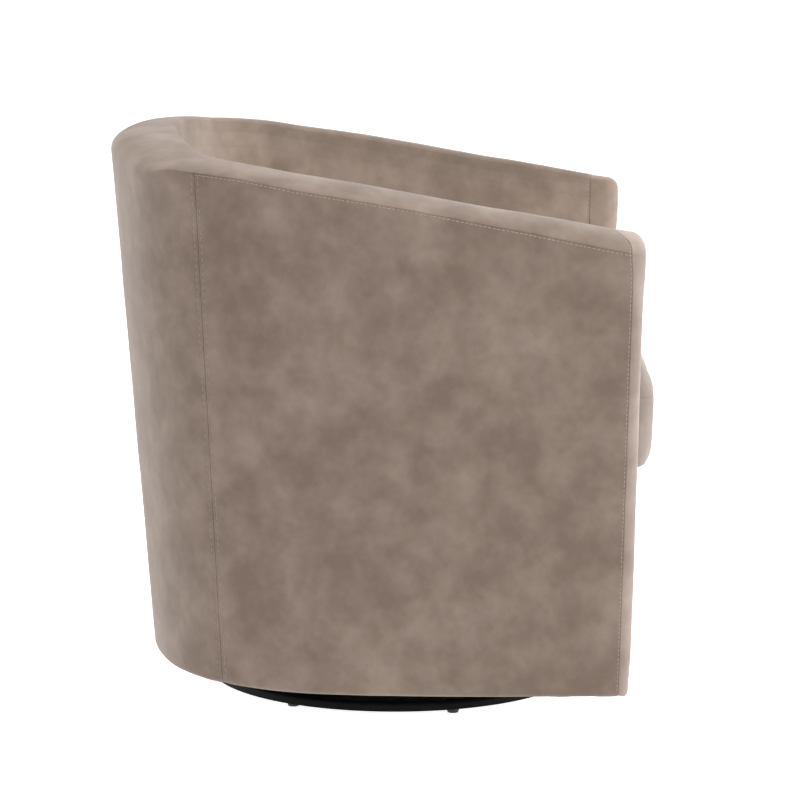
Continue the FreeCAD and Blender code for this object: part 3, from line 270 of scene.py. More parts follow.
def run(length, count, head, tail):
    """Positions along a run of the given length: fine at the seams, even between."""
    length = np.asarray(length, float)[..., None]
    a = EDGE[-1] if head else 0.0
    b = EDGE[-1] if tail else 0.0
    mid = a + (length - a - b) * np.linspace(0.0, 1.0, count)
    parts = []
    if head:
        parts.append(EDGE[:-1] + 0.0 * length)
    parts.append(mid)
    if tail:
        parts.append(length - EDGE[:-1][::-1])
    return np.concatenate(parts, axis=-1)


def normals_of(P, flip=False):
    du = np.gradient(P, axis=0)
    dv = np.gradient(P, axis=1)
    n = np.cross(du, dv)
    n = n / (np.linalg.norm(n, axis=-1, keepdims=True) + 1e-12)
    return -n if flip else n


def along(P, axis):
    """Length from the start and from the end along one axis of a grid of points."""
    step = np.linalg.norm(np.diff(P, axis=axis), axis=-1)
    pad = [(0, 0), (0, 0)]
    pad[axis] = (1, 0)
    c = np.cumsum(np.pad(step, pad), axis=axis)
    last = np.take(c, [-1], axis=axis)
    return c, last - c


def seam_sink(delta, stitched=True, pillow=0.0009, width=0.011, row=STITCH_AT):
    """Depth of the cover beside a seam: turned-in edge, pulled-down zone, stitch groove."""
    out = g(delta, ROLL) + pillow * np.exp(-delta / width)
    if stitched:
        out = out + 0.0005 * np.exp(-(((delta - EDGE[row]) / 0.0010) ** 2))
    return out


def new_object(name, verts, faces, material, weld=0.0):
    mesh = bpy.data.meshes.new(name)
    mesh.from_pydata(np.asarray(verts, float).tolist(), [], faces)
    bm = bmesh.new()
    bm.from_mesh(mesh)
    if weld:
        bmesh.ops.remove_doubles(bm, verts=bm.verts, dist=weld)
        bmesh.ops.dissolve_degenerate(bm, edges=bm.edges, dist=weld)
    bmesh.ops.recalc_face_normals(bm, faces=bm.faces)
    bm.to_mesh(mesh)
    bm.free()
    mesh.polygons.foreach_set("use_smooth", [True] * len(mesh.polygons))
    mesh.materials.append(material)
    obj = bpy.data.objects.new(name, mesh)
    scene.collection.objects.link(obj)
    return obj


def shell(name, front, back, material, weld=0.0):
    """A closed cover: a front grid and a back grid of the same shape, joined round the edge."""
    n, m, _ = front.shape
    verts = np.concatenate([front.reshape(-1, 3), back.reshape(-1, 3)])
    off = n * m
    idx = np.arange(n * m).reshape(n, m)
    a, b, c, d = idx[:-1, :-1], idx[:-1, 1:], idx[1:, 1:], idx[1:, :-1]
    faces = np.stack([a, b, c, d], -1).reshape(-1, 4)
    rear = np.stack([d, c, b, a], -1).reshape(-1, 4) + off
    ring = np.concatenate([idx[0, :-1], idx[:-1, -1], idx[-1, :0:-1], idx[:0:-1, 0]])
    nxt = np.roll(ring, -1)
    rim = np.stack([nxt, ring, ring + off, nxt + off], -1)
    all_faces = np.concatenate([faces, rear, rim]).tolist()
    return new_object(name, verts, all_faces, material, weld)


RING_T = np.array([-1.0, -0.93, -0.72, -0.36, 0.0, 0.36, 0.72, 0.93, 1.0])
RING_R = np.array([0.30, 0.66, 0.94, 1.0, 1.0, 1.0, 0.94, 0.66, 0.30])
RING_H = np.array([-1.25, -0.62, 0.02, 0.30, 0.36, 0.30, 0.02, -0.62, -1.25])


def stitches(name, lines, material, body, pitch=0.0086, length=0.0062, radius=0.00062, sides=7, seed=3):
    """Thread lying on the cover in short runs that dip into it at both ends."""
    rng = np.random.default_rng(seed)
    verts, faces = [], []
    base = 0
    ang = np.linspace(0.0, 2.0 * math.pi, sides, endpoint=False)
    for line, normals in lines:
        line, normals = np.asarray(line), np.asarray(normals)
        step = np.linalg.norm(np.diff(line, axis=0), axis=1)
        c = np.concatenate([[0.0], np.cumsum(step)])
        total = c[-1]
        count = int((total - 0.004) / pitch)
        if count < 1:
            continue
        mids = (np.arange(count) + 0.5) * (total / count)
        mids = mids + rng.normal(0.0, 0.00022, count)
        half = 0.5 * length * (1.0 + rng.normal(0.0, 0.03, count))
        at = np.clip(mids[:, None] + half[:, None] * RING_T[None, :], 0.0, total)
        p = np.stack([np.interp(at, c, line[:, k]) for k in range(3)], -1)
        n = np.stack([np.interp(at, c, normals[:, k]) for k in range(3)], -1)
        n /= np.linalg.norm(n, axis=-1, keepdims=True) + 1e-12
        tan = p[:, -1] - p[:, 0]
        tan /= np.linalg.norm(tan, axis=-1, keepdims=True) + 1e-12
        side = np.cross(tan[:, None, :], n)
        side /= np.linalg.norm(side, axis=-1, keepdims=True) + 1e-12
        lean = rng.normal(0.0, 0.00012, count)
        centre = p + n * (RING_H * radius)[None, :, None] + side * (lean[:, None] * RING_T[None, :])[..., None]
        rad = radius * RING_R
        ring = (
            centre[:, :, None, :]
            + side[:, :, None, :] * (rad[None, :, None] * np.cos(ang)[None, None, :])[..., None]
            + n[:, :, None, :] * (rad[None, :, None] * np.sin(ang)[None, None, :])[..., None]
        )
        rings = len(RING_T)
        for k in range(count):
            verts.append(ring[k].reshape(-1, 3))
            for r in range(rings - 1):
                for j in range(sides):
                    j2 = (j + 1) % sides
                    faces.append((base + r * sides + j, base + r * sides + j2, base + (r + 1) * sides + j2, base + (r + 1) * sides + j))
            faces.append(tuple(base + j for j in range(sides))[::-1])
            faces.append(tuple(base + (rings - 1) * sides + j for j in range(sides)))
            base += rings * sides
    obj = new_object(name, np.concatenate(verts), faces, material)
    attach(obj, body)
    return obj


# ---------------------------------------------------------------------------
# Materials
# ---------------------------------------------------------------------------


class Tree:
    """A small wrapper that makes node trees readable."""

    def __init__(self, name):
        self.mat = bpy.data.materials.new(name)
        self.mat.use_nodes = True
        self.nt = self.mat.node_tree
        self.bsdf = self.nt.nodes["Principled BSDF"]
        tc = self.nt.nodes.new("ShaderNodeTexCoord")
        self.obj = tc.outputs["Object"]

    def node(self, kind, **values):
        n = self.nt.nodes.new(kind)
        for k, v in values.items():
            setattr(n, k, v)
        return n

    def link(self, a, b):
        self.nt.links.new(a, b)

    def scaled(self, vec):
        n = self.node("ShaderNodeMapping")
        n.inputs["Scale"].default_value = vec
        self.link(self.obj, n.inputs["Vector"])
        return n.outputs["Vector"]

    def noise(self, scale, detail=2.0, rough=0.5, distortion=0.0, vector=None):
        n = self.node("ShaderNodeTexNoise")
        n.inputs["Scale"].default_value = scale
        n.inputs["Detail"].default_value = detail
        n.inputs["Roughness"].default_value = rough
        n.inputs["Distortion"].default_value = distortion
        self.link(vector or self.obj, n.inputs["Vector"])
        return n.outputs["Fac"]

    def voronoi(self, scale, feature="F1", vector=None):
        n = self.node("ShaderNodeTexVoronoi", feature=feature)
        n.inputs["Scale"].default_value = scale
        self.link(vector or self.obj, n.inputs["Vector"])
        return n.outputs["Distance"]

    def math(self, op, a, b=0.0, clamp=False):
        n = self.node("ShaderNodeMath", operation=op, use_clamp=clamp)
        for k, v in enumerate((a, b)):
            if isinstance(v, (int, float)):
                n.inputs[k].default_value = v
            else:
                self.link(v, n.inputs[k])
        return n.outputs[0]

    def ramp(self, fac, stops):
        n = self.node("ShaderNodeValToRGB")
        cr = n.color_ramp
        while len(cr.elements) < len(stops):
            cr.elements.new(0.5)
        for e, (pos, col) in zip(cr.elements, stops):
            e.position = pos
            e.color = (*col, 1.0)
        self.link(fac, n.inputs["Fac"])
        return n.outputs["Color"]

    def mix(self, fac, a, b, blend="MIX"):
        n = self.node("ShaderNodeMix", data_type="RGBA", blend_type=blend)
        for k, v in ((0, fac), (6, a), (7, b)):
            if isinstance(v, (int, float)):
                n.inputs[k].default_value = v
            elif isinstance(v, tuple):
                n.inputs[k].default_value = (*v, 1.0)
            else:
                self.link(v, n.inputs[k])
        return n.outputs[2]

    def ranged(self, fac, lo, hi):
        n = self.node("ShaderNodeMapRange")
        n.inputs["To Min"].default_value = lo
        n.inputs["To Max"].default_value = hi
        self.link(fac, n.inputs["Value"])
        return n.outputs[0]

    def bump(self, height, distance, strength=1.0, normal=None):
        n = self.node("ShaderNodeBump")
        n.inputs["Strength"].default_value = strength
        n.inputs["Distance"].default_value = distance
        self.link(height, n.inputs["Height"])
        if normal is not None:
            self.link(normal, n.inputs["Normal"])
        return n.outputs["Normal"]

    def done(self, color=None, rough=None, normal=None, **fixed):
        b = self.bsdf
        for socket, value in (("Base Color", color), ("Roughness", rough), ("Normal", normal)):
            if value is None:
                continue
            if isinstance(value, (int, float)):
                b.inputs[socket].default_value = value
            elif isinstance(value, tuple):
                b.inputs[socket].default_value = (*value, 1.0)
            else:
                self.link(value, b.inputs[socket])
        for k, v in fixed.items():
            b.inputs[k.replace("_", " ")].default_value = v
        return self.mat


def lin(r, g_, b):
    """sRGB 0-255 to linear."""
    out = []
    for c in (r, g_, b):
        c = c / 255.0
        out.append(c / 12.92 if c <= 0.04045 else ((c + 0.055) / 1.055) ** 2.4)
    return tuple(out)


def suede(name, mid=(150, 133, 122), spread=1.0, seed=0.0):
    """Short-napped microfibre: cloudy nap marks at two sizes, fine fibre and a soft sheen."""
    t = Tree(name)
    shift = t.node("ShaderNodeMapping")
    shift.inputs["Location"].default_value = (seed, 1.7 * seed, -0.6 * seed)
    t.link(t.obj, shift.inputs["Vector"])
    v = shift.outputs["Vector"]
    big = t.noise(8.5, 3.0, 0.55, 0.3, v)
    cloud = t.noise(25.0, 2.6, 0.50, 0.2, v)
    small = t.noise(85.0, 2.0, 0.50, 0.1, v)
    fibre = t.noise(1500.0, 2.0, 0.6, 0.0, v)
    m = t.math("MULTIPLY_ADD", cloud, 0.42)
    t.link(t.math("MULTIPLY", big, 0.36), m.node.inputs[2])
    m2 = t.math("MULTIPLY_ADD", small, 0.13)
    t.link(m, m2.node.inputs[2])
    m3 = t.math("MULTIPLY_ADD", fibre, 0.06)
    t.link(m2, m3.node.inputs[2])
    k = 10.0 * spread
    dark = lin(*(c - k for c in mid))
    light = lin(*(c + k for c in mid))
    color = t.ramp(m3, [(0.38, dark), (0.50, lin(*mid)), (0.62, light)])
    rough = t.ranged(cloud, 0.80, 0.96)
    n1 = t.bump(t.noise(420.0, 3.0, 0.6, 0.0, v), 0.0005, 0.35)
    n2 = t.bump(fibre, 0.00035, 0.45, n1)
    n3 = t.bump(cloud, 0.0030, 0.16, n2)
    return t.done(
        color, rough, n3, Sheen_Weight=0.16, Sheen_Roughness=0.42, Sheen_Tint=(1.0, 0.95, 0.90, 1.0), Specular_IOR_Level=0.22
    )


def thread_material(name, dark, pale):
    t = Tree(name)
    tw = t.node("ShaderNodeTexWave", wave_type="BANDS", bands_direction="DIAGONAL")
    tw.inputs["Scale"].default_value = 420.0
    tw.inputs["Distortion"].default_value = 1.0
    t.link(t.obj, tw.inputs["Vector"])
    tone = t.noise(140.0, 2.0)
    color = t.mix(t.ranged(tone, 0.0, 1.0), dark, pale)
    return t.done(color, t.ranged(tone, 0.5, 0.7), t.bump(tw.outputs["Fac"], 0.0002, 0.5), Sheen_Weight=0.15)


def wood_material(name, pale, dark, scale=1.0, along_axis=2, plies=False):
    t = Tree(name)
    stretch = [26.0 * scale] * 3
    stretch[along_axis] = 1.6 * scale
    v = t.scaled(tuple(stretch))
    grain = t.noise(1.0, 5.0, 0.62, 1.4, v)
    pores = t.noise(9.0, 2.0, 0.6, 0.0, v)
    color = t.ramp(grain, [(0.32, dark), (0.52, tuple(0.5 * (a + b) for a, b in zip(pale, dark))), (0.70, pale)])
    color = t.mix(t.ranged(pores, 0.0, 0.35), color, tuple(0.55 * c for c in dark))
    if plies:
        w = t.node("ShaderNodeTexWave", wave_type="BANDS", bands_direction="Z")
        w.inputs["Scale"].default_value = 110.0
        w.inputs["Distortion"].default_value = 0.4
        t.link(t.obj, w.inputs["Vector"])
        color = t.mix(t.ranged(w.outputs["Fac"], 0.0, 0.30), color, tuple(0.5 * c for c in dark))
    return t.done(color, t.ranged(pores, 0.50, 0.72), t.bump(pores, 0.0006, 0.4))


def board_material():
    t = Tree("hardboard")
    fleck = t.noise(260.0, 4.0, 0.7, 0.5)
    broad = t.noise(14.0, 2.0)
    color = t.ramp(fleck, [(0.3, lin(92, 66, 44)), (0.5, lin(122, 90, 62)), (0.72, lin(150, 116, 82))])
    color = t.mix(t.ranged(broad, 0.0, 0.3), color, lin(104, 76, 52))
    return t.done(color, t.ranged(fleck, 0.45, 0.65), t.bump(fleck, 0.0004, 0.4))


def foam_material():
    t = Tree("foam")
    cells = t.voronoi(420.0)
    tone = t.noise(18.0, 3.0)
    color = t.mix(t.ranged(tone, 0.0, 0.6), lin(238, 230, 200), lin(222, 208, 168))
    color = t.mix(t.ranged(cells, 0.0, 0.5), color, lin(196, 182, 146))
    return t.done(color, 0.92, t.bump(cells, 0.0009, 0.6), Sheen_Weight=0.1)


def felt_material():
    t = Tree("felt")
    fibre = t.noise(520.0, 4.0, 0.72, 1.2)
    tuft = t.noise(60.0, 3.0, 0.6)
    fleck = t.noise(900.0, 2.0, 0.5, 0.0, t.scaled((1.0, 0.25, 1.0)))
    color = t.ramp(fibre, [(0.30, lin(44, 43, 44)), (0.5, lin(70, 69, 70)), (0.72, lin(104, 102, 102))])
    color = t.mix(t.ranged(tuft, 0.0, 0.35), color, lin(86, 80, 76))
    return t.done(color, t.ranged(fibre, 0.85, 0.98), t.bump(fleck, 0.0010, 0.5, t.bump(fibre, 0.0012, 0.6)), Sheen_Weight=0.25)


def dust_cloth_material():
    t = Tree("dust_cloth")
    spot = t.voronoi(620.0)
    web = t.noise(350.0, 4.0, 0.7, 2.0)
    color = t.ramp(web, [(0.3, lin(20, 20, 21)), (0.6, lin(36, 36, 38)), (0.8, lin(54, 54, 56))])
    color = t.mix(t.ranged(spot, 0.5, 0.0), color, lin(16, 16, 17))
    return t.done(color, t.ranged(web, 0.68, 0.9), t.bump(spot, 0.0004, 0.5, t.bump(web, 0.0005, 0.4)))


def tape_material():
    t = Tree("zip_tape")
    a = t.node("ShaderNodeTexWave", wave_type="BANDS", bands_direction="X")
    a.inputs["Scale"].default_value = 300.0
    b = t.node("ShaderNodeTexWave", wave_type="BANDS", bands_direction="Z")
    b.inputs["Scale"].default_value = 300.0
    for n in (a, b):
        t.link(t.obj, n.inputs["Vector"])
    weave = t.math("MULTIPLY", a.outputs["Fac"], b.outputs["Fac"])
    color = t.mix(weave, lin(96, 84, 77), lin(132, 117, 107))
    return t.done(color, 0.85, t.bump(weave, 0.0003, 0.5), Sheen_Weight=0.1)


def black_steel_material():
    """Satin powder coat: fine orange peel, a little dust and rubbed edges."""
    t = Tree("black_steel")
    peel = t.noise(520.0, 2.0, 0.5)
    broad = t.noise(11.0, 4.0, 0.6, 0.6)
    geo = t.node("ShaderNodeNewGeometry")
    edge = t.ranged(geo.outputs["Pointiness"], 0.0, 1.0)
    worn = t.ramp(edge, [(0.50, (0.0, 0.0, 0.0)), (0.60, (1.0, 1.0, 1.0))])
    color = t.ramp(broad, [(0.3, lin(6, 6, 7)), (0.7, lin(11, 11, 11))])
    color = t.mix(t.math("MULTIPLY", worn, t.ranged(broad, 0.0, 0.30)), color, lin(30, 29, 30))
    rough = t.ranged(broad, 0.45, 0.60)
    return t.done(color, rough, t.bump(peel, 0.0003, 0.25), Specular_IOR_Level=0.06)


def black_plastic_material():
    t = Tree("black_plastic")
    grain = t.voronoi(900.0)
    broad = t.noise(30.0, 3.0)
    color = t.ramp(broad, [(0.3, lin(18, 18, 18)), (0.7, lin(32, 32, 33))])
    return t.done(color, t.ranged(broad, 0.48, 0.66), t.bump(grain, 0.0003, 0.4))


def zinc_material():
    t = Tree("zinc_steel")
    spangle = t.voronoi(140.0)
    brushed = t.noise(60.0, 4.0, 0.6, 0.0, t.scaled((1.0, 14.0, 14.0)))
    color = t.ramp(spangle, [(0.1, lin(168, 170, 173)), (0.5, lin(190, 191, 192)), (0.9, lin(205, 204, 200))])
    color = t.mix(t.ranged(brushed, 0.0, 0.3), color, lin(150, 150, 152))
    return t.done(color, t.ranged(brushed, 0.26, 0.44), t.bump(brushed, 0.0002, 0.3), Metallic=1.0)


def spring_material():
    t = Tree("spring_steel")
    scale_ = t.noise(220.0, 4.0, 0.65)
    color = t.ramp(scale_, [(0.3, lin(62, 60, 59)), (0.6, lin(96, 93, 90)), (0.8, lin(128, 118, 106))])
    return t.done(color, t.ranged(scale_, 0.30, 0.55), t.bump(scale_, 0.0002, 0.4), Metallic=1.0)


def nylon_material():
    t = Tree("nylon")
    cloud = t.noise(45.0, 3.0, 0.6)
    flow = t.noise(12.0, 2.0, 0.5, 1.5)
    color = t.ramp(cloud, [(0.3, lin(222, 219, 206)), (0.7, lin(238, 236, 226))])
    color = t.mix(t.ranged(flow, 0.0, 0.25), color, lin(206, 200, 182))
    return t.done(color, t.ranged(cloud, 0.38, 0.52), t.bump(cloud, 0.0003, 0.2), Subsurface_Weight=0.05)


SUEDE = suede("suede_outside", (93, 80, 71), 1.0, 0.0)
# painted light: a lighter copy of the outside suede for the inside of the tub
SUEDE_INSIDE_LIT = suede("suede_inside_lit", (109, 95, 84), 1.0, 0.0)
# painted light: lighter copies in steps from the rim down to the inside, so the inside shows brighter than its lighting
# makes it
SUEDE_LIT_STEPS = [suede("suede_turn_%d" % k, (93 + 3.2 * k, 80 + 3 * k, 71 + 2.6 * k), 1.0, 0.0) for k in (1, 2, 3, 4)]
# painted light: lighter copies of the suede for the surfaces lit by the front lamp: the arm fronts, their turned edges
# and the front cover
SUEDE_FRONT_LIT = suede("suede_front_lit", (113, 100, 92), 1.0, 0.0)
SUEDE_EDGE_LIT = suede("suede_edge_lit", (110, 97, 88), 1.0, 0.0)
# painted light: a lighter, more neutral copy of the suede for the seat cushion, as lit from the front and above
SUEDE_SEAT_LIT = suede("suede_seat_lit", (109, 99, 92), 0.9, 7.7)
THREAD = thread_material("thread", lin(90, 78, 70), lin(112, 97, 88))
# the stitches are real; the paler colour of the thread along the very edges is painted highlight, standing in for the
# light caught by the cover's turned edge at the seam
THREAD_HIGHLIGHT = thread_material("thread_highlight", lin(108, 95, 86), lin(128, 113, 103))
FOAM = foam_material()
BOARD = board_material()
PLY = wood_material("plywood", lin(214, 183, 138), lin(168, 130, 86), 1.0, 0, True)
HARD = wood_material("hardwood", lin(196, 160, 112), lin(142, 104, 66), 1.0, 2)
FELT = felt_material()
DUST = dust_cloth_material()
TAPE = tape_material()
STEEL_BLACK = black_steel_material()
PLASTIC = black_plastic_material()
ZINC = zinc_material()
SPRING = spring_material()
NYLON = nylon_material()

SLOT_MATERIAL = {
    "upholstery": SUEDE, "foam": FOAM, "hardboard": BOARD, "plywood": PLY, "hardwood": HARD, "felt": FELT,
    "dust_cloth": DUST, "zip": TAPE, "black_steel": STEEL_BLACK, "black_plastic": PLASTIC, "zinc_steel": ZINC,
    "spring_steel": SPRING, "nylon": NYLON,
}
for row in frame["record"]["subparts"]:
    node = NODES.get(row["node"])
    if node is None:
        continue
    node.data.materials.clear()
    node.data.materials.append(SLOT_MATERIAL[row["material_slot"]])


def finish_piece(obj, body, slot, *nodes, fill=None):
    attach(obj, body)
    if nodes:
        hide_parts(*nodes)
    return obj


# ---------------------------------------------------------------------------
# Outer covers of the two sides
# ---------------------------------------------------------------------------
R_UNDER = 0.007
UNDER = np.array([(0.017, 0.0), (0.012, 0.0)] + [
    (R_UNDER * (1 - math.cos(a)), R_UNDER * (1 - math.sin(a)))
    for a in np.radians([90, 72, 54, 38, 24, 11])
])
N_UNDER = len(UNDER)
Z_LOW = ZB + R_UNDER


def seam_y(z):
    return 0.219 + (0.248 - 0.219) * (z - ZB) / (ZT - ZB)


def station_of_seam(z):
    lo = np.full(np.shape(z), float(CUM[1]))
    hi = np.full(np.shape(z), S_END)
    for _ in range(44):
        mid = 0.5 * (lo + hi)
        _, y, _, _ = skin(mid, z, 0.0, 0.0128)
        up = y < seam_y(z)
        lo = np.where(up, mid, lo)
        hi = np.where(up, hi, mid)
    return 0.5 * (lo + hi)


def outer_top(s, z, bh):
    for _ in range(4):
        _, y, _, ny = skin(s, z, 0.0, bh)
        z = crown_z(y - crown_depth(ny) * ny) - drop_seam(y, ny)
    return z


def vertex_normals(verts, faces):
    v = verts[faces]
    n = np.cross(v[:, 2] - v[:, 0], v[:, 3] - v[:, 1])
    out = np.zeros_like(verts)
    for k in range(4):
        np.add.at(out, faces[:, k], n)
    return out / (np.linalg.norm(out, axis=1, keepdims=True) + 1e-12)


def thicken(name, front, back, faces, material, weld=0.0):
    """A closed cover from a surface and its copy below, joined along every free edge."""
    off = len(front)
    edges = np.concatenate([faces[:, [k, (k + 1) % 4]] for k in range(4)])
    key = np.sort(edges, axis=1)
    _, first, count = np.unique(key, axis=0, return_index=True, return_counts=True)
    free = edges[first[count == 1]]
    rim = np.stack([free[:, 1], free[:, 0], free[:, 0] + off, free[:, 1] + off], -1)
    every = np.concatenate([faces, faces[:, ::-1] + off, rim])
    return new_object(name, np.concatenate([front, back]), every.tolist(), material, weld)


def side_panel():
    rows_mid, cols = 84, 100
    m = len(run(0.5, cols, True, True))
    Z = np.tile(np.linspace(Z_LOW, 0.66, rows_mid + len(EDGE) - 1)[:, None], (1, m))
    for _ in range(6):
        ss = station_of_seam(Z[:, -1])
        S = run(ss, cols, True, True)
        bh = behind(0.0, Z)
        top = outer_top(S[-1], Z[-1], bh[-1])
        Z = Z_LOW + np.moveaxis(run(top - Z_LOW, rows_mid, False, True), -1, 0)
    bh = behind(0.0, Z)
    Sg = np.concatenate([np.tile(S[:1], (N_UNDER, 1)), S])
    Dg = np.concatenate([np.tile(UNDER[:, :1], (1, m)), np.zeros_like(S)])
    Zg = np.concatenate([np.tile(ZB + UNDER[:, 1:], (1, m)), Z])
    bg = np.concatenate([np.tile(bh[:1], (N_UNDER, 1)), bh])
    x, y, _, _ = skin(Sg, Zg, Dg, bg)
    P = np.stack([x, y, Zg], -1)
    N = normals_of(P)
    if N[N_UNDER + 20, m // 2, 0] > 0:
        N = -N
    _, to_top = along(P, 0)
    a0, a1 = along(P, 1)
    sink = np.maximum(g(to_top, LAP), np.maximum(g(a0, ROLL), g(a1, ROLL)))
    for dist, pillow, row in ((to_top, 0.0001, CLOSE_AT), (a0, 0.0004, CLOSE_AT), (a1, 0.0009, STITCH_AT)):
        sink = sink + seam_sink(dist, True, pillow, 0.011, row) - g(dist, ROLL)
    near = np.minimum(to_top, np.minimum(a0, a1))
    wave = 0.0011 * fbm(P, (5.0, 5.0, 4.0), 11) + 0.00045 * fbm(P, 17.0, 23)
    # the cover pulls in a little where the stitches hold it
    pucker = 0.00030 * vnoise(P, 95.0, 31) * np.exp(-(((near - 0.006) / 0.010) ** 2))
    F = P - N * (sink - wave * smooth(near / 0.03) - pucker)[..., None]
    B = P - N * np.maximum(sink + 0.0012, 0.0038)[..., None]
    B[:N_UNDER] = P[:N_UNDER] - N[:N_UNDER] * 0.0026
    lines = {
        "top": (F[-1 - CLOSE_AT], N[-1 - CLOSE_AT]),
        "first": (F[N_UNDER:, CLOSE_AT], N[N_UNDER:, CLOSE_AT]),
        "last": (F[N_UNDER:, -1 - STITCH_AT], N[N_UNDER:, -1 - STITCH_AT]),
    }
    return F, B, lines


F, B, L = side_panel()
for side, sign, seed in (("right", 1.0, 5), ("left", -1.0, 6)):
    k = np.array([sign, 1.0, 1.0])
    o = shell("outer_cover_" + side + "_cloth", F * k, B * k, SUEDE)
    finish_piece(o, "tub", "upholstery", "outer_cover_" + side, fill=0.9)
    # the pale thread along the top and front edges is painted highlight
    stitches("stitch_outside_" + side, [(L[n][0] * k, L[n][1] * k) for n in ("top", "first")], THREAD_HIGHLIGHT, "tub", 0.0056, 0.0046, 0.00046, seed=seed)
    stitches("stitch_seam_" + side, [(L["last"][0] * k, L["last"][1] * k)], THREAD, "tub", seed=seed + 20)

# ---------------------------------------------------------------------------
# Back and inside in one: up the outer back, over the rim, down to the deck
# ---------------------------------------------------------------------------


